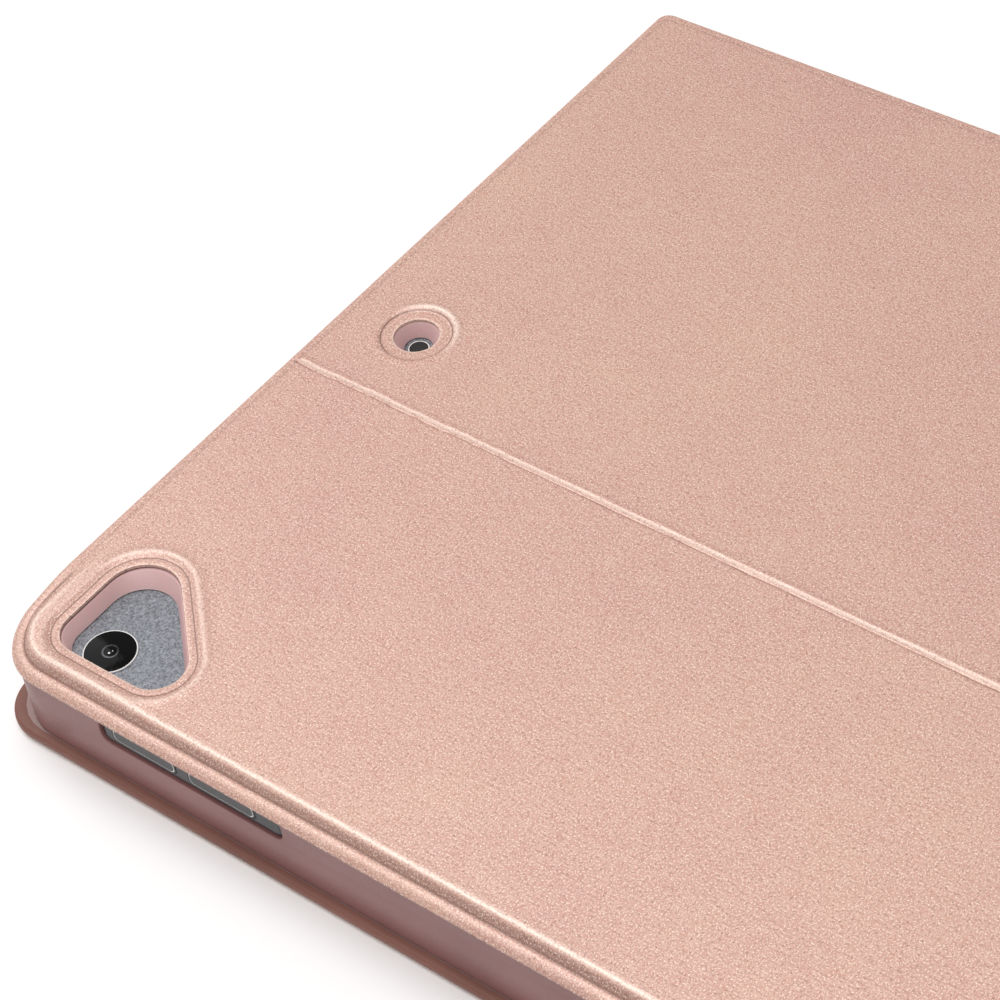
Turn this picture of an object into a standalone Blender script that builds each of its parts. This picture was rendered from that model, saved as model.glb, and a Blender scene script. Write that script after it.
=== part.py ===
"""Folio keyboard case for a 9.7 inch tablet, closed, with its back side up.

The case lies on its base cover. X runs along its long side, the front is -Y and up is +Z.
The origin is the middle of the underside. All sizes are in metres.
"""

import math

import bmesh
import bpy
from mathutils import Vector

MM = 0.001

# The tablet that the tray holds, and how closely it is held.
TABLET_LENGTH = 240.0 * MM
TABLET_DEPTH = 169.5 * MM
TABLET_THICKNESS = 7.5 * MM
TABLET_CORNER = 7.5 * MM
TABLET_CLEARANCE = 0.3 * MM

# Moulded tray.
TRAY_WALL = 1.8 * MM
TRAY_CORNER = 8.0 * MM
TRAY_BACK = 0.9 * MM
RETAINER_WIDTH = 1.2 * MM
RETAINER_HEIGHT = 1.0 * MM
SKIRT_HEIGHT = 4.5 * MM
REAR_RAIL = 3.9 * MM

# Laminated covers: skin, board and lining.
SKIN = 0.7 * MM
BOARD = 0.6 * MM
LINING = 0.3 * MM
LAMINATE_GAP = 0.2 * MM
TURNED_EDGE = 1.2 * MM
LIP_SKIN = 1.1 * MM
LIP_DROP = 1.2 * MM
LIP_RETURN = 20.0 * MM
BASE_LINING = 0.5 * MM
BASE_OVERHANG = 2.0 * MM
COVER_CORNER = 9.5 * MM
HINGE_RADIUS = 1.1 * MM

GAP = 0.3 * MM
FOLD_ROOM = 1.2 * MM
CREASE_FROM_FRONT = 73.4 * MM
CREASE_GAP = 0.4 * MM

# Steel rod in the tray's rear rail.
ROD_RADIUS = 1.0 * MM
ROD_CLEARANCE = 0.3 * MM
ROD_FROM_REAR = 1.9 * MM
ROD_RISE = 1.9 * MM
ROD_END_ROOM = 8.0 * MM

# Camera window and microphone hole, measured from the cover's left and front edges.
WINDOW_LEFT = 7.7 * MM
WINDOW_FRONT = 5.9 * MM
WINDOW_WIDTH = 31.9 * MM
WINDOW_DEPTH = 29.3 * MM
WINDOW_FILLETS = (4.5 * MM, 5.0 * MM, 6.4 * MM)
WINDOW_STEP = 2.8 * MM
MIC_FROM_LEFT = 14.7 * MM
MIC_OFF_MIDDLE = 0.15 * MM
MIC_SKIN_RADIUS = 3.9 * MM
MIC_TRAY_RADIUS = 3.3 * MM

# Wall cutouts: middle and length of each, measured from the tablet's left or front edge.
CUTOUT_HEIGHT = 4.8 * MM
CUTOUT_RISE = 0.4 * MM
CUTOUT_CORNER = 1.68 * MM
VOLUME_MIDDLE = 37.0 * MM
VOLUME_LENGTH = 36.0 * MM
POWER_MIDDLE = 16.0 * MM
POWER_LENGTH = 16.0 * MM
HEADPHONE_FROM_REAR = 11.0 * MM
HEADPHONE_LENGTH = 10.0 * MM
CONNECTOR_LENGTH = 18.0 * MM
SPEAKER_LENGTH = 26.0 * MM
SPEAKER_OFFSET = 51.0 * MM

# Keyboard module.
KEYBOARD_SIDE_ROOM = 2.3 * MM
KEYBOARD_FRONT_ROOM = 4.8 * MM
KEYBOARD_CORNER = 5.0 * MM
KEYBOARD_WALL = 1.2 * MM
SHELL_FLOOR = 0.4 * MM
SHELL_HEIGHT = 2.0 * MM
PLATE_THICKNESS = 0.6 * MM
DECK_MARGIN = 2.0 * MM
DECK_FRONT_MARGIN = 2.5 * MM
STRIP_DEPTH = 11.8 * MM
STRIP_RISE = 1.2 * MM
STRIP_WALL = 0.8 * MM
MATRIX_THICKNESS = 0.15 * MM
SHEET_GAP = 0.1 * MM

# Keys: one unit is the pitch of a letter key.
ROW_UNITS = 14.5
LETTER_ROWS = 5
ROW_PITCH = 15.2 * MM
TOP_ROW_PITCH = 9.0 * MM
KEY_SPACING = 2.4 * MM
KEY_HOLE_ROOM = 0.35 * MM
KEY_HEIGHT = 1.35 * MM
KEY_TRAVEL = 0.8 * MM
WEB_THICKNESS = 0.22 * MM
WEB_WIDTH = 3.2 * MM
ARROW_GAP = 0.6 * MM

# Parts of the rear strip and the base.
BATTERY_SIZE = (90.0 * MM, 7.6 * MM, 2.3 * MM)
BATTERY_FROM_LEFT = 60.0 * MM
CONTROLLER_SIZE = (42.0 * MM, 6.8 * MM, 0.8 * MM)
CONTROLLER_FROM_RIGHT = 40.0 * MM
PORT_SIZE = (5.6 * MM, 7.5 * MM, 2.5 * MM)
PORT_WALL = 0.4 * MM
PORT_RECESS = 0.3 * MM
SWITCH_FROM_LEFT = 18.0 * MM
SWITCH_SIZE = (4.0 * MM, 2.4 * MM)
SWITCH_TRAVEL = 2.0 * MM
PAIR_FROM_LEFT = 34.0 * MM
PAIR_RADIUS = 2.0 * MM
CONTROL_RISE = 0.4 * MM
CONTROL_DEPTH = 1.0 * MM
LIGHT_FROM_LEFT = 46.0 * MM
LIGHT_SIZE = (4.0 * MM, 1.6 * MM)
STAND_MAGNET_SIZE = (42.0 * MM, 8.0 * MM)
STAND_MAGNET_OFFSET = 55.0 * MM
STAND_LINE_BEHIND_KEYBOARD = 5.9 * MM
CLOSURE_MAGNET_SIZE = (20.0 * MM, 3.0 * MM)
CLOSURE_MAGNET_OFFSET = 73.0 * MM
CLOSURE_MAGNET_FROM_FRONT = 4.2 * MM

ARC_STEPS = 6

# Plan of the case, from the tablet outwards.
MARGIN = LIP_SKIN + GAP + TRAY_WALL + TABLET_CLEARANCE
SPINE_THICKNESS = 2 * HINGE_RADIUS
REAR_MARGIN = TABLET_CLEARANCE + TRAY_WALL + FOLD_ROOM + SPINE_THICKNESS
CASE_LENGTH = TABLET_LENGTH + 2 * MARGIN
CASE_DEPTH = MARGIN + TABLET_DEPTH + REAR_MARGIN
LEFT = -CASE_LENGTH / 2
RIGHT = CASE_LENGTH / 2
FRONT = -CASE_DEPTH / 2
REAR = CASE_DEPTH / 2
TABLET_LEFT = LEFT + MARGIN
TABLET_FRONT = FRONT + MARGIN
TABLET_REAR = TABLET_FRONT + TABLET_DEPTH

# Heights, from the underside up.
BASE_TOP = SKIN + 2 * LAMINATE_GAP + BOARD + BASE_LINING
SKIRT_BOTTOM = BASE_TOP + GAP
RETAINER_BOTTOM = SKIRT_BOTTOM + SKIRT_HEIGHT
POCKET_BOTTOM = RETAINER_BOTTOM + RETAINER_HEIGHT
POCKET_TOP = POCKET_BOTTOM + TABLET_THICKNESS
TRAY_TOP = POCKET_TOP + TRAY_BACK
COVER_BOTTOM = TRAY_TOP + GAP
COVER_TOP = COVER_BOTTOM + SKIN + 2 * LAMINATE_GAP + BOARD + LINING

# The tray's outline and the four fold lines.
TRAY_OUT = TABLET_CLEARANCE + TRAY_WALL
CREASE = FRONT + CREASE_FROM_FRONT
FOLD_LINE = REAR - HINGE_RADIUS
ROD_Y = TABLET_REAR + TRAY_OUT - ROD_FROM_REAR
ROD_Z = SKIRT_BOTTOM + ROD_RISE

# Keyboard plan and heights.
KEYBOARD_LEFT = TABLET_LEFT + KEYBOARD_SIDE_ROOM
KEYBOARD_RIGHT = -KEYBOARD_LEFT
KEYBOARD_FRONT = TABLET_FRONT + KEYBOARD_FRONT_ROOM
KEYBOARD_DEPTH = DECK_FRONT_MARGIN + LETTER_ROWS * ROW_PITCH + TOP_ROW_PITCH + GAP + STRIP_DEPTH
KEYBOARD_REAR = KEYBOARD_FRONT + KEYBOARD_DEPTH
SHELL_BOTTOM = BASE_TOP + LAMINATE_GAP
SHELL_TOP = SHELL_BOTTOM + SHELL_HEIGHT
PLATE_BOTTOM = SHELL_TOP + LAMINATE_GAP
PLATE_TOP = PLATE_BOTTOM + PLATE_THICKNESS
STRIP_FRONT = KEYBOARD_REAR - STRIP_DEPTH
STRIP_TOP = PLATE_TOP + STRIP_RISE
STRIP_MIDDLE = (STRIP_FRONT + KEYBOARD_REAR) / 2
FLOOR_TOP = SHELL_BOTTOM + SHELL_FLOOR
MATRIX_BOTTOM = FLOOR_TOP + SHEET_GAP
DOME_BOTTOM = MATRIX_BOTTOM + MATRIX_THICKNESS + SHEET_GAP
WEB_TOP = PLATE_BOTTOM - LAMINATE_GAP
WEB_BOTTOM = WEB_TOP - WEB_THICKNESS
KEY_TOP = PLATE_TOP + KEY_HEIGHT
UNIT = (KEYBOARD_RIGHT - KEYBOARD_LEFT - 2 * DECK_MARGIN) / ROW_UNITS


# ---- scene helpers ----


def clear_scene():
    for old in list(bpy.data.objects):
        bpy.data.objects.remove(old)


def material(name, color, roughness, metallic=0.0):
    made = bpy.data.materials.new(name)
    made.use_nodes = True
    shader = made.node_tree.nodes["Principled BSDF"]
    shader.inputs["Base Color"].default_value = (*color, 1.0)
    shader.inputs["Roughness"].default_value = roughness
    shader.inputs["Metallic"].default_value = metallic
    made.diffuse_color = (*color, 1.0)
    return made


def joint_empty(name, location, parent=None):
    """An empty on a joint's axis, which the pieces of the moving body hang on."""
    empty = bpy.data.objects.new(name, None)
    bpy.context.scene.collection.objects.link(empty)
    empty.empty_display_size = 5 * MM
    empty.parent = parent
    empty.location = Vector(location) - world_place(parent)
    return empty


def world_place(obj):
    place = Vector((0.0, 0.0, 0.0))
    while obj is not None:
        place = place + obj.location
        obj = obj.parent
    return place


def add_object(name, shape, finish, parent=None):
    """Makes an object from a bmesh in world places, with its own origin at its middle."""
    bmesh.ops.recalc_face_normals(shape, faces=shape.faces[:])
    lows = [min(v.co[i] for v in shape.verts) for i in range(3)]
    highs = [max(v.co[i] for v in shape.verts) for i in range(3)]
    middle = (Vector(lows) + Vector(highs)) / 2
    bmesh.ops.translate(shape, verts=shape.verts[:], vec=-middle)
    mesh = bpy.data.meshes.new(name)
    shape.to_mesh(mesh)
    shape.free()
    if finish is not None:
        mesh.materials.append(finish)
    obj = bpy.data.objects.new(name, mesh)
    bpy.context.scene.collection.objects.link(obj)
    obj.parent = parent
    obj.location = middle - world_place(parent)
    return obj


def cutter(name, shape):
    obj = add_object(name, shape, None)
    obj.hide_render = True
    obj.display_type = "WIRE"
    return obj


def cut(obj, *tools):
    for tool in tools:
        modifier = obj.modifiers.new("Cut " + tool.name, "BOOLEAN")
        modifier.operation = "DIFFERENCE"
        modifier.object = tool


# ---- outlines and solids ----


def fillet_outline(corners, radii, steps=ARC_STEPS):
    """Points round a convex polygon, anticlockwise, with each corner rounded to its radius."""
    points = []
    count = len(corners)
    for i in range(count):
        here = Vector(corners[i])
        before = (Vector(corners[i - 1]) - here).normalized()
        after = (Vector(corners[(i + 1) % count]) - here).normalized()
        radius = radii[i]
        if radius <= 0:
            points.append(tuple(here))
            continue
        half = before.angle(after) / 2
        centre = here + (before + after).normalized() * (radius / math.sin(half))
        start = here + before * (radius / math.tan(half)) - centre
        sweep = math.pi - 2 * half
        first = math.atan2(start.y, start.x)
        for k in range(steps + 1):
            angle = first + sweep * k / steps
            points.append((centre.x + radius * math.cos(angle), centre.y + radius * math.sin(angle)))
    return points


def inset_corners(corners, distance):
    """The corners of a convex anticlockwise polygon moved in by a distance."""
    moved = []
    count = len(corners)
    for i in range(count):
        here = Vector(corners[i])
        before = (Vector(corners[i - 1]) - here).normalized()
        after = (Vector(corners[(i + 1) % count]) - here).normalized()
        half = before.angle(after) / 2
        moved.append(tuple(here + (before + after).normalized() * (distance / math.sin(half))))
    return moved


def rounded_rectangle(low, high, front_radius, rear_radius=None):
    rear = front_radius if rear_radius is None else rear_radius
    corners = [(low[0], low[1]), (high[0], low[1]), (high[0], high[1]), (low[0], high[1])]
    return fillet_outline(corners, (front_radius, front_radius, rear, rear))


def circle(centre, radius, steps):
    angles = [2 * math.pi * k / steps for k in range(steps)]
    return [(centre[0] + radius * math.cos(a), centre[1] + radius * math.sin(a)) for a in angles]


def add_prism(shape, outline, low, high, along="Z"):
    """Extrudes an outline between two places along an axis, and adds it to a bmesh."""
    place = {
        "X": lambda u, v, w: (w, u, v),
        "Y": lambda u, v, w: (u, w, v),
        "Z": lambda u, v, w: (u, v, w),
    }[along]
    base = [shape.verts.new(place(u, v, low)) for u, v in outline]
    top = [shape.verts.new(place(u, v, high)) for u, v in outline]
    shape.faces.new(base)
    shape.faces.new(top)
    for i in range(len(base)):
        after = (i + 1) % len(base)
        shape.faces.new((base[i], base[after], top[after], top[i]))


def prism(outline, low, high, along="Z"):
    shape = bmesh.new()
    add_prism(shape, outline, low, high, along)
    return shape


def box_outline(low, high):
    return [(low[0], low[1]), (high[0], low[1]), (high[0], high[1]), (low[0], high[1])]


def add_box(shape, low, high):
    add_prism(shape, box_outline(low, high), low[2], high[2])


def box(low, high):
    shape = bmesh.new()
    add_box(shape, low, high)
    return shape


def centred_box(middle, size, bottom):
    low = (middle[0] - size[0] / 2, middle[1] - size[1] / 2, bottom)
    high = (middle[0] + size[0] / 2, middle[1] + size[1] / 2, bottom + size[2])
    return box(low, high)


def camera_corners():
    left = LEFT + WINDOW_LEFT
    front = FRONT + WINDOW_FRONT
    return [(left, front), (left + WINDOW_WIDTH, front), (left, front + WINDOW_DEPTH)]


def camera_outline(inset):
    """The rounded triangle of the camera window, moved in by a distance."""
    radii = [max(radius - inset * 0.5, 2 * MM) for radius in WINDOW_FILLETS]
    return fillet_outline(inset_corners(camera_corners(), inset), radii)


# ---- laminated covers ----


def build_base(finishes):
    rear = FOLD_LINE - HINGE_RADIUS - GAP
    left = LEFT - BASE_OVERHANG
    outline = rounded_rectangle((left, FRONT), (-left, rear), COVER_CORNER, 2 * MM)
    skin = add_object("base_skin", prism(outline, 0.0, BASE_TOP), finishes["leather"])
    low = (left + TURNED_EDGE, FRONT + TURNED_EDGE)
    high = (-left - TURNED_EDGE, rear - TURNED_EDGE)
    hollow = rounded_rectangle(low, high, COVER_CORNER - TURNED_EDGE, 1 * MM)
    cut(skin, cutter("base_hollow_cutter", prism(hollow, SKIN, BASE_TOP + 1 * MM)))
    inner_low = (low[0] + LAMINATE_GAP, low[1] + LAMINATE_GAP)
    inner_high = (high[0] - LAMINATE_GAP, high[1] - LAMINATE_GAP)
    inner = rounded_rectangle(inner_low, inner_high, COVER_CORNER - TURNED_EDGE - LAMINATE_GAP, 1 * MM)
    board_bottom = SKIN + LAMINATE_GAP
    board_top = board_bottom + BOARD
    board = add_object("base_board", prism(inner, board_bottom, board_top), finishes["board"])
    lining = prism(inner, board_top + LAMINATE_GAP, BASE_TOP)
    add_object("base_lining", lining, finishes["lining"])
    build_magnets(board, board_bottom, finishes)


def build_magnets(board, bottom, finishes):
    """Flat magnets let into the base board, with a little room round each."""
    stand_y = KEYBOARD_REAR + STAND_LINE_BEHIND_KEYBOARD
    closure_y = FRONT + CLOSURE_MAGNET_FROM_FRONT
    places = {
        "stand_magnet_left": (-STAND_MAGNET_OFFSET, stand_y, STAND_MAGNET_SIZE),
        "stand_magnet_right": (STAND_MAGNET_OFFSET, stand_y, STAND_MAGNET_SIZE),
        "closure_magnet_left": (-CLOSURE_MAGNET_OFFSET, closure_y, CLOSURE_MAGNET_SIZE),
        "closure_magnet_right": (CLOSURE_MAGNET_OFFSET, closure_y, CLOSURE_MAGNET_SIZE),
    }
    holes = bmesh.new()
    for name, (x, y, size) in places.items():
        add_object(name, centred_box((x, y), (*size, BOARD), bottom), finishes["magnet"])
        half_x = size[0] / 2 + GAP
        half_y = size[1] / 2 + GAP
        add_box(holes, (x - half_x, y - half_y, bottom - MM), (x + half_x, y + half_y, bottom + BOARD + MM))
    cut(board, cutter("magnet_holes_cutter", holes))


def build_spine(parent, finishes):
    """The narrow rear panel. A round bead at its foot is centred on the base fold."""
    top = COVER_TOP - 2 * HINGE_RADIUS - GAP
    bead = [
        (FOLD_LINE + HINGE_RADIUS * math.sin(a), HINGE_RADIUS - HINGE_RADIUS * math.cos(a))
        for a in [math.pi / 2 * k / ARC_STEPS for k in range(-ARC_STEPS, ARC_STEPS + 1)]
    ]
    inner = FOLD_LINE - HINGE_RADIUS
    shelf = 2 * HINGE_RADIUS
    outline = bead + [(REAR, top), (REAR - SKIN, top), (REAR - SKIN, shelf), (inner, shelf)]
    add_object("spine_skin", prism(outline, LEFT, RIGHT, "X"), finishes["leather"], parent)
    board_rear = REAR - SKIN - LAMINATE_GAP
    ends = (LEFT + TURNED_EDGE, RIGHT - TURNED_EDGE)
    bottom = shelf + LAMINATE_GAP
    board = box((ends[0], board_rear - BOARD, bottom), (ends[1], board_rear, top))
    add_object("spine_board", board, finishes["board"], parent)
    lining_rear = board_rear - BOARD - LAMINATE_GAP
    # The lining stops short of the upper fold, where the leg's edge comes down on it when the case stands.
    lining = box((ends[0], inner, bottom), (ends[1], lining_rear, top - HINGE_RADIUS))
    add_object("spine_lining", lining, finishes["lining"], parent)


def build_leg(parent, finishes, mic):
    """The rear part of the back cover. Its rear bead is centred on the upper fold."""
    front = CREASE + CREASE_GAP / 2
    fold_z = COVER_TOP - HINGE_RADIUS
    bead = [
        (FOLD_LINE + HINGE_RADIUS * math.cos(a), fold_z + HINGE_RADIUS * math.sin(a))
        for a in [math.pi / 2 - math.pi * k / (2 * ARC_STEPS) for k in range(2 * ARC_STEPS + 1)]
    ]
    under = COVER_BOTTOM
    before_bead = FOLD_LINE - HINGE_RADIUS - GAP
    outline = [(front, COVER_TOP)] + bead + [(before_bead, fold_z - HINGE_RADIUS), (before_bead, under), (front, under)]
    skin = add_object("leg_skin", prism(outline, LEFT, RIGHT, "X"), finishes["leather"], parent)
    low = (LEFT + TURNED_EDGE, front + TURNED_EDGE)
    high = (RIGHT - TURNED_EDGE, before_bead - TURNED_EDGE)
    ceiling = COVER_TOP - SKIN
    cut(skin, cutter("leg_hollow_cutter", box((*low, under - MM), (*high, ceiling))))
    low = (low[0] + LAMINATE_GAP, low[1] + LAMINATE_GAP)
    high = (high[0] - LAMINATE_GAP, high[1] - LAMINATE_GAP)
    board_top = ceiling - LAMINATE_GAP
    board = add_object("leg_board", box((*low, board_top - BOARD), (*high, board_top)), finishes["board"], parent)
    lining_shape = box((*low, under), (*high, under + LINING))
    lining = add_object("leg_lining", lining_shape, finishes["lining"], parent)
    for piece in (skin, board, lining):
        cut(piece, mic)


def build_top_cover(parent, finishes):
    """The front part of the back cover, with a lip that wraps over the tray's front wall."""
    rear = CREASE - CREASE_GAP / 2
    lip_bottom = COVER_BOTTOM - LIP_DROP
    outline = rounded_rectangle((LEFT, FRONT), (RIGHT, rear), COVER_CORNER, 0.0)
    skin = add_object("top_skin", prism(outline, lip_bottom, COVER_TOP), finishes["leather"], parent)
    low = (LEFT + LIP_SKIN, FRONT + LIP_SKIN)
    high = (RIGHT - LIP_SKIN, rear - TURNED_EDGE)
    hollow = rounded_rectangle(low, high, COVER_CORNER - LIP_SKIN, 0.0)
    cut(skin, cutter("top_hollow_cutter", prism(hollow, lip_bottom - MM, COVER_TOP - SKIN)))
    relief = box((LEFT - MM, FRONT + LIP_RETURN, lip_bottom - MM), (RIGHT + MM, REAR, COVER_BOTTOM))
    cut(skin, cutter("lip_relief_cutter", relief))
    low = (low[0] + LAMINATE_GAP, low[1] + LAMINATE_GAP)
    high = (high[0] - LAMINATE_GAP, high[1] - LAMINATE_GAP)
    board_outline = rounded_rectangle(low, high, COVER_CORNER - LIP_SKIN - LAMINATE_GAP, 0.0)
    board_top = COVER_TOP - SKIN - LAMINATE_GAP
    board_shape = prism(board_outline, COVER_BOTTOM, board_top)
    board = add_object("top_board", board_shape, finishes["board"], parent)
    opening = prism(camera_outline(0.0), lip_bottom, COVER_TOP + MM)
    cut(skin, cutter("camera_window_cutter", opening))
    room = prism(camera_outline(-GAP), lip_bottom, COVER_TOP + MM)
    cut(board, cutter("camera_board_cutter", room))


# ---- tray ----


def wall_slot(middle, length, along):
    """A round-ended slot through a side wall of the tray."""
    centre_z = POCKET_BOTTOM + TABLET_THICKNESS / 2 + CUTOUT_RISE
    low = (middle - length / 2, centre_z - CUTOUT_HEIGHT / 2)
    high = (middle + length / 2, centre_z + CUTOUT_HEIGHT / 2)
    outline = rounded_rectangle(low, high, CUTOUT_CORNER)
    return outline, along


def build_tray(parent, finishes):
    low = (TABLET_LEFT - TRAY_OUT, TABLET_FRONT - TRAY_OUT)
    high = (-low[0], TABLET_REAR + TRAY_OUT)
    outer = rounded_rectangle(low, high, TRAY_CORNER)
    tray = add_object("tray_shell", prism(outer, SKIRT_BOTTOM, TRAY_TOP), finishes["tray"], parent)

    pocket_low = (TABLET_LEFT - TABLET_CLEARANCE, TABLET_FRONT - TABLET_CLEARANCE)
    pocket_high = (-pocket_low[0], TABLET_REAR + TABLET_CLEARANCE)
    pocket = rounded_rectangle(pocket_low, pocket_high, TABLET_CORNER)
    cut(tray, cutter("pocket_cutter", prism(pocket, POCKET_BOTTOM, POCKET_TOP)))

    screen_low = (pocket_low[0] + RETAINER_WIDTH, pocket_low[1] + RETAINER_WIDTH)
    screen_high = (-screen_low[0], pocket_high[1] - RETAINER_WIDTH)
    screen = rounded_rectangle(screen_low, screen_high, TABLET_CORNER - RETAINER_WIDTH)
    middle = (POCKET_BOTTOM + POCKET_TOP) / 2
    cut(tray, cutter("screen_cutter", prism(screen, SKIRT_BOTTOM - MM, middle)))

    skirt_high = (pocket_high[0], high[1] - REAR_RAIL)
    skirt = rounded_rectangle(pocket_low, skirt_high, TABLET_CORNER)
    cut(tray, cutter("skirt_cutter", prism(skirt, SKIRT_BOTTOM - MM, RETAINER_BOTTOM)))

    bore = circle((ROD_Y, ROD_Z), ROD_RADIUS + ROD_CLEARANCE, 16)
    cut(tray, cutter("rod_bore_cutter", prism(bore, LEFT, RIGHT, "X")))

    window = prism(camera_outline(WINDOW_STEP), middle, TRAY_TOP + MM)
    cut(tray, cutter("camera_tray_cutter", window))
    mic = circle(mic_centre(), MIC_TRAY_RADIUS, 24)
    cut(tray, cutter("mic_tray_cutter", prism(mic, middle, TRAY_TOP + MM)))

    slots = bmesh.new()
    outline, along = wall_slot(TABLET_LEFT + VOLUME_MIDDLE, VOLUME_LENGTH, "Y")
    add_prism(slots, outline, FRONT - MM, TABLET_FRONT + MM, along)
    for place, length in (
        (TABLET_FRONT + POWER_MIDDLE, POWER_LENGTH),
        (TABLET_REAR - HEADPHONE_FROM_REAR, HEADPHONE_LENGTH),
    ):
        outline, along = wall_slot(place, length, "X")
        add_prism(slots, outline, LEFT - MM, TABLET_LEFT + MM, along)
    centre_y = (TABLET_FRONT + TABLET_REAR) / 2
    for place, length in (
        (centre_y, CONNECTOR_LENGTH),
        (centre_y - SPEAKER_OFFSET, SPEAKER_LENGTH),
        (centre_y + SPEAKER_OFFSET, SPEAKER_LENGTH),
    ):
        outline, along = wall_slot(place, length, "X")
        add_prism(slots, outline, -TABLET_LEFT - MM, RIGHT + MM, along)
    cut(tray, cutter("wall_slots_cutter", slots))


def mic_centre():
    return (LEFT + MIC_FROM_LEFT, (TABLET_FRONT + TABLET_REAR) / 2 + MIC_OFF_MIDDLE)


def build_rod(parent, finishes):
    half = -TABLET_LEFT - ROD_END_ROOM
    rod = prism(circle((ROD_Y, ROD_Z), ROD_RADIUS, 16), -half, half, "X")
    add_object("stand_rod", rod, finishes["steel"], parent)


# ---- keyboard ----


def key_rows():
    """Each row as its rear edge, its pitch and its keys, from left to right, as (name, units).

    Keys with one name move as one piece.
    """
    letters_rear = STRIP_FRONT - GAP - TOP_ROW_PITCH
    top_key = ROW_UNITS / 14
    rows = [
        (STRIP_FRONT - GAP, TOP_ROW_PITCH, [("key_escape", top_key)] + [("keys_function_row", top_key)] * 13),
        (letters_rear, ROW_PITCH, [("keys_number_row", 1.0)] * 13 + [("key_backspace", 1.5)]),
        (letters_rear - ROW_PITCH, ROW_PITCH, [("key_tab", 1.5)] + [("keys_upper_row", 1.0)] * 13),
        (
            letters_rear - 2 * ROW_PITCH,
            ROW_PITCH,
            [("key_caps_lock", 1.75)] + [("keys_home_row", 1.0)] * 11 + [("key_enter", 1.75)],
        ),
        (
            letters_rear - 3 * ROW_PITCH,
            ROW_PITCH,
            [("key_left_shift", 2.25)] + [("keys_lower_row", 1.0)] * 10 + [("key_right_shift", 2.25)],
        ),
        (
            letters_rear - 4 * ROW_PITCH,
            ROW_PITCH,
            [("keys_left_modifiers", 1.1)] * 4
            + [("key_space", 5.1)]
            + [("keys_right_modifiers", 1.0)] * 2
            + [("key_arrow_left", 1.0), ("key_arrow_up_down", 1.0), ("key_arrow_right", 1.0)],
        ),
    ]
    return rows


def key_boxes():
    """The plan of every key cap, in lists under the name of the piece it belongs to."""
    found = {}
    half = KEY_SPACING / 2
    for rear, pitch, keys in key_rows():
        x = KEYBOARD_LEFT + DECK_MARGIN
        for name, units in keys:
            low = (x + half, rear - pitch + half)
            high = (x + units * UNIT - half, rear - half)
            if name == "key_arrow_up_down":
                middle = (low[1] + high[1]) / 2
                gap = KEY_HOLE_ROOM + ARROW_GAP
                found["key_arrow_down"] = [(low, (high[0], middle - gap))]
                found["key_arrow_up"] = [((low[0], middle + gap), high)]
            else:
                found.setdefault(name, []).append((low, high))
            x += units * UNIT
    return found


def add_stepped_strip(shape, caps):
    """Key caps standing on one thin web, as a single closed skin over a grid of cells."""
    front = caps[0][0][1]
    rear = caps[0][1][1]
    middle = (front + rear) / 2
    ys = [front, middle - WEB_WIDTH / 2, middle + WEB_WIDTH / 2, rear]
    xs = sorted({x for low, high in caps for x in (low[0], high[0])})

    def height(i, j):
        """Top of the cell at column i and row j, or None where there is no material."""
        if not (0 <= i < len(xs) - 1 and 0 <= j < 3):
            return None
        if i % 2 == 0:
            return KEY_TOP
        return WEB_TOP if j == 1 else None

    made = {}

    def vertex(i, j, z):
        key = (i, j, round(z / (0.01 * MM)))
        if key not in made:
            made[key] = shape.verts.new((xs[i], ys[j], z))
        return made[key]

    def wall(ends, low, high):
        levels = [z for z in (WEB_BOTTOM, WEB_TOP, KEY_TOP) if low <= z <= high]
        for under, over in zip(levels, levels[1:]):
            (a, b), (c, d) = ends
            shape.faces.new((vertex(a, b, under), vertex(c, d, under), vertex(c, d, over), vertex(a, b, over)))

    for i in range(len(xs) - 1):
        for j in range(3):
            here = height(i, j)
            if here is None:
                continue
            corners = [(i, j), (i + 1, j), (i + 1, j + 1), (i, j + 1)]
            shape.faces.new([vertex(a, b, here) for a, b in corners])
            shape.faces.new([vertex(a, b, WEB_BOTTOM) for a, b in reversed(corners)])
            sides = [((i, j), (i + 1, j), (i, j - 1)), ((i + 1, j), (i + 1, j + 1), (i + 1, j))]
            sides += [((i + 1, j + 1), (i, j + 1), (i, j + 1)), ((i, j + 1), (i, j), (i - 1, j))]
            for first, second, beyond in sides:
                other = height(*beyond)
                if other is None:
                    wall((first, second), WEB_BOTTOM, here)
                elif other < here:
                    wall((first, second), other, here)


def build_keys(parent, finishes):
    for name, caps in key_boxes().items():
        low, high = caps[0]
        if len(caps) == 1:
            shape = box((*low, WEB_BOTTOM), (*high, KEY_TOP))
        else:
            shape = bmesh.new()
            add_stepped_strip(shape, caps)
        far = caps[-1][1]
        middle = ((low[0] + far[0]) / 2, (low[1] + far[1]) / 2, WEB_BOTTOM)
        add_object(name, shape, finishes["key"], joint_empty(name + "_axis", middle, parent))


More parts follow.
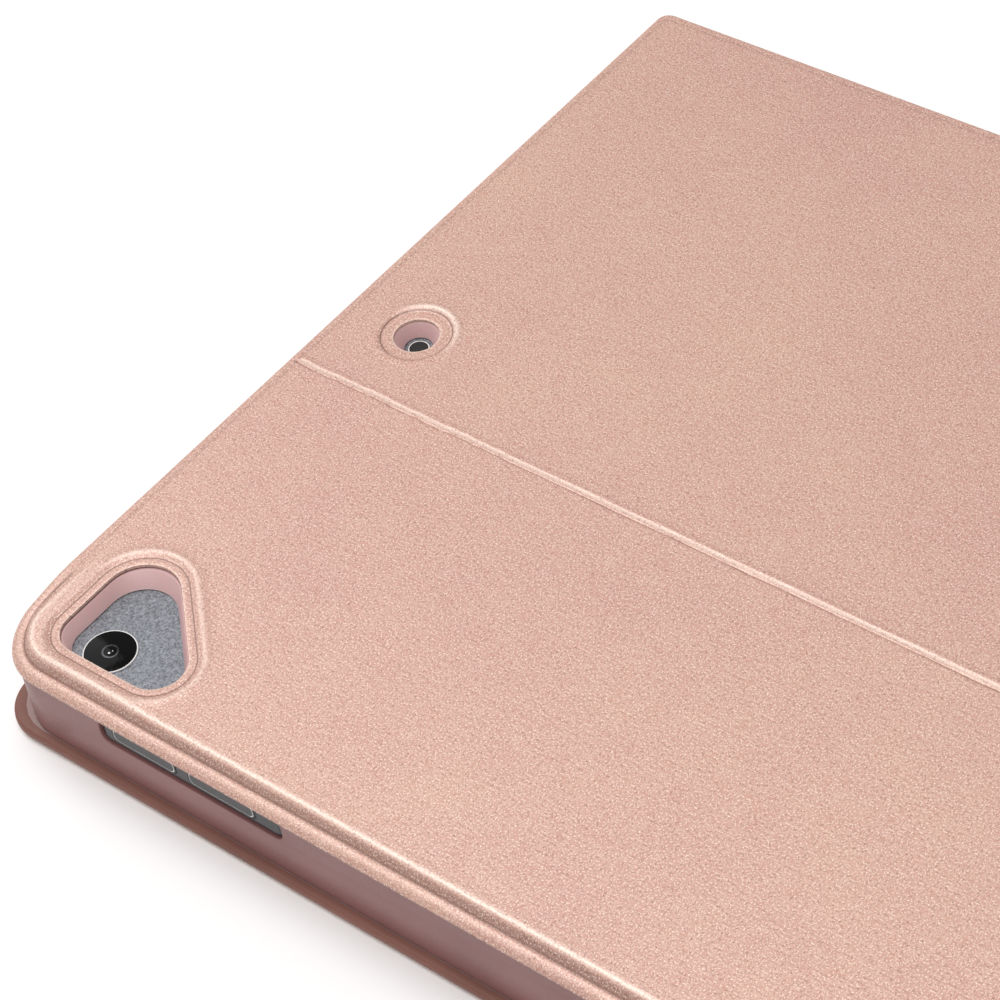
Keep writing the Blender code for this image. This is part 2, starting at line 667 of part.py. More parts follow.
def build_keyboard(finishes):
    low = (KEYBOARD_LEFT, KEYBOARD_FRONT)
    high = (KEYBOARD_RIGHT, KEYBOARD_REAR)
    outer = rounded_rectangle(low, high, KEYBOARD_CORNER, 2 * MM)
    inner_low = (low[0] + KEYBOARD_WALL, low[1] + KEYBOARD_WALL)
    inner_high = (high[0] - KEYBOARD_WALL, high[1] - KEYBOARD_WALL)
    inner = rounded_rectangle(inner_low, inner_high, KEYBOARD_CORNER - KEYBOARD_WALL, 1 * MM)
    shell = add_object("keyboard_bottom_shell", prism(outer, SHELL_BOTTOM, SHELL_TOP), finishes["deck"])
    cut(shell, cutter("shell_hollow_cutter", prism(inner, FLOOR_TOP, SHELL_TOP + MM)))

    profile = [
        (KEYBOARD_FRONT, PLATE_BOTTOM),
        (KEYBOARD_REAR, PLATE_BOTTOM),
        (KEYBOARD_REAR, STRIP_TOP),
        (STRIP_FRONT, STRIP_TOP),
        (STRIP_FRONT, PLATE_TOP),
        (KEYBOARD_FRONT, PLATE_TOP),
    ]
    plate = add_object("keyboard_top_plate", prism(profile, low[0], high[0], "X"), finishes["deck"])
    strip_low = (low[0] + STRIP_WALL, STRIP_FRONT + STRIP_WALL, PLATE_BOTTOM - MM)
    strip_high = (high[0] - STRIP_WALL, KEYBOARD_REAR - STRIP_WALL, STRIP_TOP - PLATE_THICKNESS)
    cut(plate, cutter("strip_hollow_cutter", box(strip_low, strip_high)))
    trim = bmesh.new()
    frame_low = (low[0] - 5 * MM, low[1] - 5 * MM)
    frame_high = (high[0] + 5 * MM, high[1] + 5 * MM)
    add_corner_trim(trim, low, high, frame_low, frame_high)
    cut(plate, cutter("plate_corner_cutter", trim))

    holes = bmesh.new()
    for caps in key_boxes().values():
        for cap_low, cap_high in caps:
            hole_low = (cap_low[0] - KEY_HOLE_ROOM, cap_low[1] - KEY_HOLE_ROOM, PLATE_BOTTOM - MM)
            hole_high = (cap_high[0] + KEY_HOLE_ROOM, cap_high[1] + KEY_HOLE_ROOM, PLATE_TOP + MM)
            add_box(holes, hole_low, hole_high)
    cut(plate, cutter("key_holes_cutter", holes))

    sheet_low = (inner_low[0] + GAP, inner_low[1] + GAP)
    sheet_high = (inner_high[0] - GAP, STRIP_FRONT)
    sheet = rounded_rectangle(sheet_low, sheet_high, KEYBOARD_CORNER - KEYBOARD_WALL, 1 * MM)
    matrix = prism(sheet, MATRIX_BOTTOM, MATRIX_BOTTOM + MATRIX_THICKNESS)
    add_object("key_matrix_board", matrix, finishes["circuit"])
    domes = prism(sheet, DOME_BOTTOM, DOME_BOTTOM + MATRIX_THICKNESS)
    add_object("key_dome_sheet", domes, finishes["rubber"])
    return shell, plate


def add_corner_trim(shape, low, high, frame_low, frame_high):
    """What lies outside the plate's two rounded front corners."""
    radius = KEYBOARD_CORNER
    for side, edge, outside in ((1, low[0], frame_low[0]), (-1, high[0], frame_high[0])):
        centre = (edge + side * radius, low[1] + radius)
        arc = []
        for k in range(ARC_STEPS + 1):
            angle = math.pi / 2 * k / ARC_STEPS
            arc.append((centre[0] - side * radius * math.cos(angle), centre[1] - radius * math.sin(angle)))
        outline = [(outside, centre[1])] + arc + [(centre[0], frame_low[1]), (outside, frame_low[1])]
        add_prism(shape, outline, PLATE_BOTTOM - MM, STRIP_TOP + MM)


def build_strip_parts(shell, plate, finishes):
    """Battery, controller, charging port, light, switch and pairing button."""
    inside_bottom = FLOOR_TOP + SHEET_GAP
    battery_x = KEYBOARD_LEFT + BATTERY_FROM_LEFT + BATTERY_SIZE[0] / 2
    battery = centred_box((battery_x, STRIP_MIDDLE), BATTERY_SIZE, inside_bottom)
    add_object("battery", battery, finishes["battery"])
    controller_x = KEYBOARD_RIGHT - CONTROLLER_FROM_RIGHT - CONTROLLER_SIZE[0] / 2
    controller = centred_box((controller_x, STRIP_MIDDLE), CONTROLLER_SIZE, inside_bottom)
    add_object("controller_board", controller, finishes["circuit"])

    mouth = KEYBOARD_RIGHT - PORT_RECESS
    low = (mouth - PORT_SIZE[0], STRIP_MIDDLE - PORT_SIZE[1] / 2, inside_bottom)
    high = (mouth, STRIP_MIDDLE + PORT_SIZE[1] / 2, inside_bottom + PORT_SIZE[2])
    port = add_object("charging_port", box(low, high), finishes["steel"])
    inner_low = (low[0] + PORT_WALL, low[1] + PORT_WALL, low[2] + PORT_WALL)
    inner_high = (high[0] + MM, high[1] - PORT_WALL, high[2] - PORT_WALL)
    cut(port, cutter("port_mouth_cutter", box(inner_low, inner_high)))
    wall_low = (low[0] - GAP, low[1] - GAP, low[2] - SHEET_GAP / 2)
    wall_high = (RIGHT, high[1] + GAP, high[2] + GAP / 2)
    passage = cutter("port_passage_cutter", box(wall_low, wall_high))
    cut(shell, passage)
    cut(plate, passage)

    controls = bmesh.new()
    top = STRIP_TOP + MM
    under = STRIP_TOP - PLATE_THICKNESS - MM / 2
    control_low = STRIP_TOP - PLATE_THICKNESS - CONTROL_DEPTH
    control_high = STRIP_TOP + CONTROL_RISE
    switch_x = KEYBOARD_LEFT + SWITCH_FROM_LEFT
    half_y = SWITCH_SIZE[1] / 2
    low = (switch_x, STRIP_MIDDLE - half_y, control_low)
    high = (switch_x + SWITCH_SIZE[0], STRIP_MIDDLE + half_y, control_high)
    switch_axis = joint_empty("power_switch_axis", (switch_x, STRIP_MIDDLE, STRIP_TOP))
    add_object("power_switch", box(low, high), finishes["control"], switch_axis)
    slot_low = (low[0] - GAP, low[1] - GAP, under)
    slot_high = (high[0] + SWITCH_TRAVEL + GAP, high[1] + GAP, top)
    add_box(controls, slot_low, slot_high)

    pair_x = KEYBOARD_LEFT + PAIR_FROM_LEFT
    pair_axis = joint_empty("pair_button_axis", (pair_x, STRIP_MIDDLE, STRIP_TOP))
    button = prism(circle((pair_x, STRIP_MIDDLE), PAIR_RADIUS, 16), control_low, control_high)
    add_object("pair_button", button, finishes["control"], pair_axis)
    add_prism(controls, circle((pair_x, STRIP_MIDDLE), PAIR_RADIUS + GAP, 16), under, top)

    light_x = KEYBOARD_LEFT + LIGHT_FROM_LEFT
    light_size = (*LIGHT_SIZE, PLATE_THICKNESS)
    light_shape = centred_box((light_x, STRIP_MIDDLE), light_size, STRIP_TOP - PLATE_THICKNESS)
    add_object("status_light_window", light_shape, finishes["light"])
    half = (LIGHT_SIZE[0] / 2 + LAMINATE_GAP, LIGHT_SIZE[1] / 2 + LAMINATE_GAP)
    add_box(
        controls,
        (light_x - half[0], STRIP_MIDDLE - half[1], under),
        (light_x + half[0], STRIP_MIDDLE + half[1], top),
    )
    cut(plate, cutter("strip_controls_cutter", controls))


def make_finishes():
    return {
        "leather": material("rose_leather", (0.76, 0.50, 0.44), 0.42),
        "board": material("stiffener_board", (0.32, 0.30, 0.28), 0.8),
        "lining": material("microfibre_lining", (0.45, 0.34, 0.33), 0.9),
        "tray": material("mauve_tray", (0.45, 0.27, 0.27), 0.45),
        "deck": material("keyboard_deck", (0.74, 0.52, 0.47), 0.35, 0.3),
        "key": material("white_key", (0.85, 0.84, 0.83), 0.45),
        "control": material("control_plastic", (0.30, 0.22, 0.21), 0.5),
        "steel": material("steel", (0.62, 0.62, 0.64), 0.3, 1.0),
        "magnet": material("magnet", (0.50, 0.50, 0.52), 0.35, 1.0),
        "circuit": material("circuit_board", (0.06, 0.22, 0.12), 0.5),
        "rubber": material("silicone", (0.75, 0.75, 0.72), 0.6),
        "battery": material("battery_foil", (0.60, 0.61, 0.63), 0.4, 0.6),
        "light": material("light_window", (0.85, 0.88, 0.92), 0.2),
    }


def build():
    clear_scene()
    finishes = make_finishes()
    rod_axis = joint_empty("stand_rod_axis", (0.0, ROD_Y, ROD_Z))
    tray_axis = joint_empty("tray_axis", (0.0, ROD_Y, ROD_Z), rod_axis)
    leg_axis = joint_empty("crease_axis", (0.0, CREASE, COVER_TOP), tray_axis)
    spine_axis = joint_empty("base_fold_axis", (0.0, FOLD_LINE, HINGE_RADIUS))
    mic = cutter("mic_hole_cutter", prism(circle(mic_centre(), MIC_SKIN_RADIUS, 24), TRAY_TOP, COVER_TOP + MM))
    build_base(finishes)
    build_spine(spine_axis, finishes)
    build_leg(leg_axis, finishes, mic)
    build_top_cover(tray_axis, finishes)
    build_tray(tray_axis, finishes)
    build_rod(rod_axis, finishes)
    shell, plate = build_keyboard(finishes)
    build_strip_parts(shell, plate, finishes)
    build_keys(None, finishes)


build()
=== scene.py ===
import math

import bpy
import numpy as np
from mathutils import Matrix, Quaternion, Vector


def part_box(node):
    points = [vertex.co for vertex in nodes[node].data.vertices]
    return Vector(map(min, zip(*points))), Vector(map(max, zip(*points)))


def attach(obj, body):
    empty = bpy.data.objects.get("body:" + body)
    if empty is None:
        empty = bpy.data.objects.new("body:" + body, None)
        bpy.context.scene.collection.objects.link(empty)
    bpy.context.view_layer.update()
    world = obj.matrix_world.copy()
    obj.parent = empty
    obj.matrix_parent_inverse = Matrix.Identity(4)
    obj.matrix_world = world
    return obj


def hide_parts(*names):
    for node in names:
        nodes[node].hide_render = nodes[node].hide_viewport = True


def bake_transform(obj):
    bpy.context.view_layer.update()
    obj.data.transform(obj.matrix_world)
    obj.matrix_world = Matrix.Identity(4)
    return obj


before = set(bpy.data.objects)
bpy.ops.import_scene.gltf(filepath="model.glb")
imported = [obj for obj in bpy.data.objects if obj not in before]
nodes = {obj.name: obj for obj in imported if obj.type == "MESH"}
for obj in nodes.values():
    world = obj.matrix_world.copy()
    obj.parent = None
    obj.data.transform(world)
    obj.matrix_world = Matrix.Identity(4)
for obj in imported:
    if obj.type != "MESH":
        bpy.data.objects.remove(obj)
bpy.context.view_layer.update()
mm = 0.001


# Helpers for picking, cutting and rounding.

def pickOnly(obj):
    bpy.ops.object.select_all(action="DESELECT")
    obj.select_set(True)
    bpy.context.view_layer.objects.active = obj


def named(name):
    obj = bpy.context.object
    obj.name = name
    obj.data.name = name
    return obj


def settle(obj):
    # Puts the object's place into its mesh and applies its modifiers, in order.
    pickOnly(obj)
    bpy.ops.object.transform_apply(location=True, rotation=True, scale=True)
    for modifier in list(obj.modifiers):
        bpy.ops.object.modifier_apply(modifier=modifier.name)


def blockBetween(name, low, high):
    bpy.ops.object.select_all(action="DESELECT")
    middle = [(a + b) / 2 for a, b in zip(low, high)]
    bpy.ops.mesh.primitive_cube_add(size=1, location=middle)
    obj = named(name)
    obj.scale = [b - a for a, b in zip(low, high)]
    pickOnly(obj)
    bpy.ops.object.transform_apply(location=True, rotation=True, scale=True)
    return obj


def edgeEnds(obj, edge):
    points = obj.data.vertices
    return points[edge.vertices[0]].co, points[edge.vertices[1]].co


def bevelEdges(obj, test, width, segments):
    # Bevels the edges whose two ends pass the test.
    pickOnly(obj)
    bpy.ops.object.mode_set(mode="EDIT")
    bpy.ops.mesh.select_mode(type="EDGE")
    bpy.ops.mesh.select_all(action="DESELECT")
    bpy.ops.object.mode_set(mode="OBJECT")
    for edge in obj.data.edges:
        edge.select = test(*edgeEnds(obj, edge))
    bpy.ops.object.mode_set(mode="EDIT")
    bpy.ops.mesh.bevel(offset=width, segments=segments, affect="EDGES", clamp_overlap=True)
    bpy.ops.object.mode_set(mode="OBJECT")


def upright(a, b):
    return abs(a.x - b.x) < 1e-6 and abs(a.y - b.y) < 1e-6


def subtract(obj, tool):
    cut = obj.modifiers.new("cut", "BOOLEAN")
    cut.operation = "DIFFERENCE"
    cut.solver = "EXACT"
    cut.object = tool
    pickOnly(obj)
    bpy.ops.object.modifier_apply(modifier=cut.name)
    bpy.data.objects.remove(tool)


def bevelAll(obj, width, segments=2, angle=35):
    bevel = obj.modifiers.new("soft edges", "BEVEL")
    bevel.width = width
    bevel.segments = segments
    bevel.limit_method = "ANGLE"
    bevel.angle_limit = math.radians(angle)
    pickOnly(obj)
    bpy.ops.object.modifier_apply(modifier=bevel.name)


def smooth(obj, angle=35):
    pickOnly(obj)
    bpy.ops.object.shade_smooth_by_angle(angle=math.radians(angle))


def joined(name, parts):
    # Joins the parts into the first one.
    bpy.ops.object.select_all(action="DESELECT")
    for part in parts:
        part.select_set(True)
    bpy.context.view_layer.objects.active = parts[0]
    bpy.ops.object.join()
    return named(name)


def copyOfNode(node, name):
    # A merged copy of a CAD node, with its flat faces made whole again.
    obj = nodes[node].copy()
    obj.data = nodes[node].data.copy()
    for key in list(obj.keys()):
        if key.startswith("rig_"):
            del obj[key]
    obj.parent = None
    obj.name = name
    obj.data.name = name
    bpy.context.scene.collection.objects.link(obj)
    pickOnly(obj)
    bpy.ops.object.mode_set(mode="EDIT")
    bpy.ops.mesh.select_all(action="SELECT")
    bpy.ops.mesh.remove_doubles(threshold=0.00001)
    bpy.ops.mesh.dissolve_limited(angle_limit=math.radians(1))
    bpy.ops.object.mode_set(mode="OBJECT")
    return obj


def ramp(value, low, high):
    t = np.clip((value - low) / (high - low), 0, 1)
    return t * t * (3 - 2 * t)


# Plan of the case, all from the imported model.

coverLow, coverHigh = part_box("top_skin")
legLow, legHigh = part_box("leg_skin")
baseLow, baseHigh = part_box("base_skin")
trayLow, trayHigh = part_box("tray_shell")
left, right = coverLow.x, coverHigh.x
front, rear = coverLow.y, legHigh.y
top = coverHigh.z
crease = (coverHigh.y + legLow.y) / 2


def roundedCorners(corners, radii, steps):
    # Points round a convex outline, with each corner rounded to its radius.
    points = []
    for i, corner in enumerate(corners):
        here = Vector(corner)
        before = (Vector(corners[i - 1]) - here).normalized()
        after = (Vector(corners[(i + 1) % len(corners)]) - here).normalized()
        half = before.angle(after) / 2
        centre = here + (before + after).normalized() * (radii[i] / math.sin(half))
        start = here + before * (radii[i] / math.tan(half)) - centre
        first = math.atan2(start.y, start.x)
        for k in range(steps + 1):
            angle = first + (math.pi - 2 * half) * k / steps
            points.append((centre.x + radii[i] * math.cos(angle), centre.y + radii[i] * math.sin(angle)))
    return points


window = {
    "fromLeft": 8.0 * mm,
    "fromFront": 7.2 * mm,
    "width": 30.3 * mm,
    "depth": 29.0 * mm,
    "fillets": (4.5 * mm, 5.0 * mm, 6.4 * mm),
    "arcSteps": 14,
}


def windowOutline(inset):
    # The rounded triangle of the camera window, moved in by a distance.
    x0, y0 = left + window["fromLeft"], front + window["fromFront"]
    corners = [Vector((x0, y0)), Vector((x0 + window["width"], y0)), Vector((x0, y0 + window["depth"]))]
    moved = []
    for i, here in enumerate(corners):
        before = (corners[i - 1] - here).normalized()
        after = (corners[(i + 1) % 3] - here).normalized()
        half = before.angle(after) / 2
        moved.append(here + (before + after).normalized() * (inset / math.sin(half)))
    radii = [max(r - inset * 0.5, 2 * mm) for r in window["fillets"]]
    return roundedCorners(moved, radii, window["arcSteps"])


def distanceOutside(xs, ys, outline):
    # Distance from each point to the outline, negative inside it.
    points = np.array(outline)
    after = np.roll(points, -1, axis=0)
    nearest = np.full(xs.shape, 1e9)
    inside = np.zeros(xs.shape, bool)
    for (ax, ay), (bx, by) in zip(points, after):
        dx, dy = bx - ax, by - ay
        t = np.clip(((xs - ax) * dx + (ys - ay) * dy) / max(dx * dx + dy * dy, 1e-18), 0, 1)
        nearest = np.minimum(nearest, np.hypot(xs - ax - t * dx, ys - ay - t * dy))
        if abs(dy) > 1e-12:
            crosses = (ay > ys) != (by > ys)
            inside ^= crosses & (xs < (ys - ay) * dx / dy + ax)
    return np.where(inside, -nearest, nearest)


# Camera and light.

studio = {
    "cameraAt": (0.15818, -0.25983, 0.35523),
    "lookAt": (-0.07395, -0.02348, 0.0187),
    "turn": -9.45,
    "lens": 110.8,
    "roomLight": 0.42,
    "overheadPower": 8.2,
    "leftPower": 2.4,
}

cameraData = bpy.data.cameras.new("studioCamera")
camera = bpy.data.objects.new("studioCamera", cameraData)
bpy.context.scene.collection.objects.link(camera)
camera.location = studio["cameraAt"]
direction = Vector(studio["lookAt"]) - Vector(studio["cameraAt"])
roll = Quaternion((0, 0, 1), math.radians(studio["turn"]))
camera.rotation_euler = (direction.to_track_quat("-Z", "Y") @ roll).to_euler()
cameraData.lens = studio["lens"]
cameraData.sensor_width = 36
cameraData.clip_start = 0.01
cameraData.clip_end = 50
bpy.context.scene.camera = camera

world = bpy.data.worlds.new("white_room")
bpy.context.scene.world = world
world.use_nodes = True
world.node_tree.nodes["Background"].inputs["Color"].default_value = (1.0, 0.985, 0.97, 1)
world.node_tree.nodes["Background"].inputs["Strength"].default_value = studio["roomLight"]
bpy.context.scene.view_settings.view_transform = "Standard"


def softbox(name, place, aim, size, power):
    light = bpy.data.lights.new(name, "AREA")
    light.shape = "RECTANGLE"
    light.size, light.size_y = size
    light.energy = power
    obj = bpy.data.objects.new(name, light)
    bpy.context.scene.collection.objects.link(obj)
    obj.location = place
    obj.rotation_euler = (Vector(aim) - Vector(place)).to_track_quat("-Z", "Y").to_euler()
    return obj


softbox("overhead", (-0.15, -0.13, 1.0), (0, 0, 0), (1.0, 0.8), studio["overheadPower"])
softbox("left_fill", (-0.95, 0.12, 0.85), (0, 0, 0), (0.7, 0.7), studio["leftPower"])


# Finishes.

def newFinish(name):
    finish = bpy.data.materials.new(name)
    finish.use_nodes = True
    tree = finish.node_tree
    return finish, tree.nodes, tree.links, tree.nodes["Principled BSDF"]


def coordinates(tree, links, source, scale):
    where = tree.new("ShaderNodeTexCoord")
    mapping = tree.new("ShaderNodeMapping")
    mapping.inputs["Scale"].default_value = scale
    links.new(where.outputs[source], mapping.inputs["Vector"])
    return mapping.outputs["Vector"]


def noise(tree, links, source, scale, detail=2.0, rough=0.5):
    node = tree.new("ShaderNodeTexNoise")
    node.inputs["Scale"].default_value = 1.0
    node.inputs["Detail"].default_value = detail
    node.inputs["Roughness"].default_value = rough
    links.new(coordinates(tree, links, source, scale), node.inputs["Vector"])
    return node.outputs["Fac"]


def mapped(tree, links, value, fromLow, fromHigh, toLow, toHigh):
    node = tree.new("ShaderNodeMapRange")
    node.inputs["From Min"].default_value = fromLow
    node.inputs["From Max"].default_value = fromHigh
    node.inputs["To Min"].default_value = toLow
    node.inputs["To Max"].default_value = toHigh
    links.new(value, node.inputs["Value"])
    return node.outputs["Result"]


def mathOf(tree, links, operation, a, b):
    node = tree.new("ShaderNodeMath")
    node.operation = operation
    for socket, value in zip(node.inputs, (a, b)):
        if isinstance(value, (int, float)):
            socket.default_value = value
        else:
            links.new(value, socket)
    return node.outputs[0]


def mixed(tree, links, amount, colourA, colourB, mode="MIX"):
    node = tree.new("ShaderNodeMix")
    node.data_type = "RGBA"
    node.blend_type = mode
    ends = {"A": colourA, "B": colourB}
    if isinstance(amount, (int, float)):
        node.inputs[0].default_value = amount
    else:
        links.new(amount, node.inputs[0])
    for key, value in ends.items():
        socket = [s for s in node.inputs if s.name == key and s.type == "RGBA"][0]
        if isinstance(value, tuple):
            socket.default_value = (*value, 1)
        else:
            links.new(value, socket)
    return [s for s in node.outputs if s.type == "RGBA"][0]


def bumped(tree, links, shader, layers):
    # Stacks bump layers of (height, strength, distance in metres).
    previous = None
    for height, strength, distance in layers:
        bump = tree.new("ShaderNodeBump")
        bump.inputs["Strength"].default_value = strength
        bump.inputs["Distance"].default_value = distance
        links.new(height, bump.inputs["Height"])
        if previous is not None:
            links.new(previous, bump.inputs["Normal"])
        previous = bump.outputs["Normal"]
    links.new(previous, shader.inputs["Normal"])


def attributeOf(tree, name):
    node = tree.new("ShaderNodeAttribute")
    node.attribute_name = name
    return node.outputs["Fac"]


def lineAt(tree, links, value, middle, halfWidth):
    # 1 along a line where the value equals middle, falling to 0 at the half width.
    away = mathOf(tree, links, "ABSOLUTE", mathOf(tree, links, "SUBTRACT", value, middle), 0)
    return mapped(tree, links, away, 0, halfWidth, 1, 0)


leather = {
    "peach": (0.605, 0.345, 0.262),
    "pink": (0.545, 0.282, 0.230),
    "pearl": (0.94, 0.735, 0.63),
    "umber": (0.16, 0.07, 0.05),
    "metallic": 0.16,
    "gloss": 0.85,
    "roughLow": 0.32,
    "roughHigh": 0.50,
}

# Painted shade along the fine pressed lines of the cover: attribute, place and half width in mm, and how
# strong.
paintedShadeLines = [
    ("windowGap", 1.32, 0.20, 0.9),
    ("micOut", 5.95, 0.20, 0.85),
    ("creaseAcross", -0.22, 0.24, 0.8),
    ("lipIn", 2.38, 0.30, 0.80),
]


def leatherFinish(name, source, pressed=False):
    finish, tree, links, shader = newFinish(name)
    broad = noise(tree, links, source, (14, 14, 14), 3)
    patches = noise(tree, links, source, (70, 90, 70), 4)
    streaksLong = noise(tree, links, source, (2600, 260, 900), 3, 0.6)
    streaksCross = noise(tree, links, source, (260, 2400, 900), 3, 0.6)
    grain = noise(tree, links, source, (2400, 1900, 2400), 3, 0.6)
    flakes = noise(tree, links, source, (4200, 3300, 4200), 1, 0.5)
    blotch = mathOf(tree, links, "ADD", broad, mathOf(tree, links, "MULTIPLY", patches, 0.6))
    tone = mixed(tree, links, mapped(tree, links, blotch, 0.5, 1.1, 0, 1), leather["pink"], leather["peach"])
    fibres = mathOf(tree, links, "ADD", streaksLong, streaksCross)
    lift = mapped(tree, links, fibres, 0.85, 1.35, 0.0, 0.30)
    tone = mixed(tree, links, lift, tone, leather["pearl"])
    # The cover's attribute paints highlights towards pearl and shade towards umber.
    if pressed:
        paintedLightAndShade = attributeOf(tree, "paintedLightAndShade")
        tone = mixed(tree, links, mapped(tree, links, paintedLightAndShade, 0, 1, 0, 1), tone, leather["pearl"])
        tone = mixed(tree, links, mapped(tree, links, paintedLightAndShade, -1, 0, 1, 0), tone, leather["umber"])
    pits = mapped(tree, links, grain, 0.30, 0.50, 0.55, 0.0)
    tone = mixed(tree, links, pits, tone, leather["umber"])
    spark = mapped(tree, links, flakes, 0.53, 0.70, 0.0, 0.85)
    tone = mixed(tree, links, spark, tone, leather["pearl"])
    # Painted shade darkens each pressed line towards umber.
    if pressed:
        for attribute, middle, halfWidth, strength in paintedShadeLines:
            line = lineAt(tree, links, attributeOf(tree, attribute), middle, halfWidth)
            tone = mixed(tree, links, mathOf(tree, links, "MULTIPLY", line, strength), tone, leather["umber"])
    links.new(tone, shader.inputs["Base Color"])
    shader.inputs["Metallic"].default_value = leather["metallic"]
    shader.inputs["Specular IOR Level"].default_value = leather["gloss"]
    matte = mapped(tree, links, fibres, 0.7, 1.3, leather["roughHigh"], leather["roughLow"])
    links.new(matte, shader.inputs["Roughness"])
    bumped(tree, links, shader, [
        (patches, 0.25, 0.0003),
        (fibres, 0.30, 0.0001),
        (grain, 0.40, 0.0001),
    ])
    return finish


def mouldedFinish(
    name, colourA, colourB, roughLow, roughHigh, grainScale=1800, depth=0.00004, metallic=0.0, subsurface=0.0
):
    finish, tree, links, shader = newFinish(name)
    cloud = noise(tree, links, "Object", (60, 60, 60), 3)
    grain = noise(tree, links, "Object", (grainScale,) * 3, 3, 0.6)
    tone = mixed(tree, links, mapped(tree, links, cloud, 0.3, 0.7, 0, 1), colourA, colourB)
    links.new(tone, shader.inputs["Base Color"])
    links.new(mapped(tree, links, grain, 0.3, 0.7, roughLow, roughHigh), shader.inputs["Roughness"])
    shader.inputs["Metallic"].default_value = metallic
    shader.inputs["Subsurface Weight"].default_value = subsurface
    shader.inputs["Subsurface Scale"].default_value = 0.002
    bumped(tree, links, shader, [(grain, 0.3, depth)])
    return finish


def brushedFinish(name, colourA, colourB, scale, rough, metallic=1.0):
    finish, tree, links, shader = newFinish(name)
    lines = noise(tree, links, "Object", scale, 4, 0.6)
    tone = mixed(tree, links, mapped(tree, links, lines, 0.3, 0.7, 0, 1), colourA, colourB)
    links.new(tone, shader.inputs["Base Color"])
    links.new(mapped(tree, links, lines, 0.3, 0.7, rough - 0.07, rough + 0.09), shader.inputs["Roughness"])
    shader.inputs["Metallic"].default_value = metallic
    bumped(tree, links, shader, [(lines, 0.2, 0.00002)])
    return finish


def fibreFinish(name, dark, light):
    # Short brushed microfibre: soft nap with a fine two-way weave under it.
    finish, tree, links, shader = newFinish(name)
    nap = noise(tree, links, "Object", (1500, 1500, 1500), 4, 0.7)
    clouds = noise(tree, links, "Object", (45, 45, 45), 3)
    weaveX = noise(tree, links, "Object", (3200, 300, 300), 2)
    weaveY = noise(tree, links, "Object", (300, 3200, 300), 2)
    weave = mathOf(tree, links, "MULTIPLY", weaveX, weaveY)
    fineShare = mathOf(tree, links, "MULTIPLY", nap, 0.6)
    broadShare = mathOf(tree, links, "MULTIPLY", clouds, 0.5)
    both = mathOf(tree, links, "ADD", fineShare, broadShare)
    tone = mixed(tree, links, mapped(tree, links, both, 0.35, 0.75, 0, 1), dark, light)
    links.new(tone, shader.inputs["Base Color"])
    shader.inputs["Roughness"].default_value = 0.92
    shader.inputs["Sheen Weight"].default_value = 0.35
    shader.inputs["Sheen Roughness"].default_value = 0.5
    bumped(tree, links, shader, [(weave, 0.35, 0.0001), (nap, 0.5, 0.00012)])
    return finish


roseLeatherPressed = leatherFinish("rose_leather_pressed", "UV", True)
roseLeather = leatherFinish("rose_leather_flat", "UV")
roseLeatherPlain = leatherFinish("rose_leather_plain", "Object")
mauvePlastic = mouldedFinish(
    "mauve_moulding", (0.262, 0.118, 0.113), (0.305, 0.143, 0.138), 0.34, 0.46, subsurface=0.15
)
# The funnel walls take a lighter copy of the mauve moulding, as painted light.
mauvePaintedLight = mouldedFinish("mauve_painted_light", (0.56, 0.35, 0.345), (0.62, 0.40, 0.395), 0.36, 0.48, subsurface=0.15)
# A darker brown for the base's edge and hem, which is painted shade.
edgePaintedShade = mouldedFinish("edge_painted_shade", (0.19, 0.075, 0.055), (0.27, 0.11, 0.08), 0.45, 0.6, 2600, 0.00006)
liningFabric = fibreFinish("microfibre", (0.30, 0.20, 0.19), (0.42, 0.30, 0.285))
boardFibre = mouldedFinish("grey_board", (0.28, 0.26, 0.24), (0.36, 0.34, 0.31), 0.8, 0.95, 900, 0.0001)
deckPaint = mouldedFinish("rose_deck", (0.66, 0.40, 0.33), (0.74, 0.47, 0.39), 0.3, 0.42, 3000, 0.00002, 0.45)
keyPlastic = mouldedFinish("white_keycap", (0.80, 0.79, 0.775), (0.84, 0.83, 0.82), 0.38, 0.5, 2400, 0.00003)
controlPlastic = mouldedFinish("brown_control", (0.22, 0.155, 0.145), (0.28, 0.20, 0.19), 0.42, 0.55)
rodSteel = brushedFinish("rod_steel", (0.55, 0.55, 0.57), (0.68, 0.68, 0.70), (60, 3000, 3000), 0.28)
magnetNickel = brushedFinish("magnet_nickel", (0.50, 0.50, 0.52), (0.62, 0.62, 0.63), (400, 2500, 2500), 0.3)
circuitGreen = mouldedFinish("circuit_green", (0.03, 0.15, 0.07), (0.05, 0.22, 0.11), 0.35, 0.5)
siliconeMilk = mouldedFinish(
    "milky_silicone", (0.68, 0.68, 0.66), (0.76, 0.76, 0.74), 0.5, 0.65, subsurface=0.3
)
batteryFoil = brushedFinish(
    "battery_foil", (0.55, 0.56, 0.58), (0.66, 0.67, 0.69), (1200, 1200, 1200), 0.4, 0.7
)
lightLens = mouldedFinish("light_lens", (0.80, 0.85, 0.90), (0.86, 0.90, 0.94), 0.12, 0.2)


def paint(obj, *finishes):
    obj.data.materials.clear()
    for finish in finishes:
        obj.data.materials.append(finish)


print("studio and finishes ready")

# Leather of the back cover.

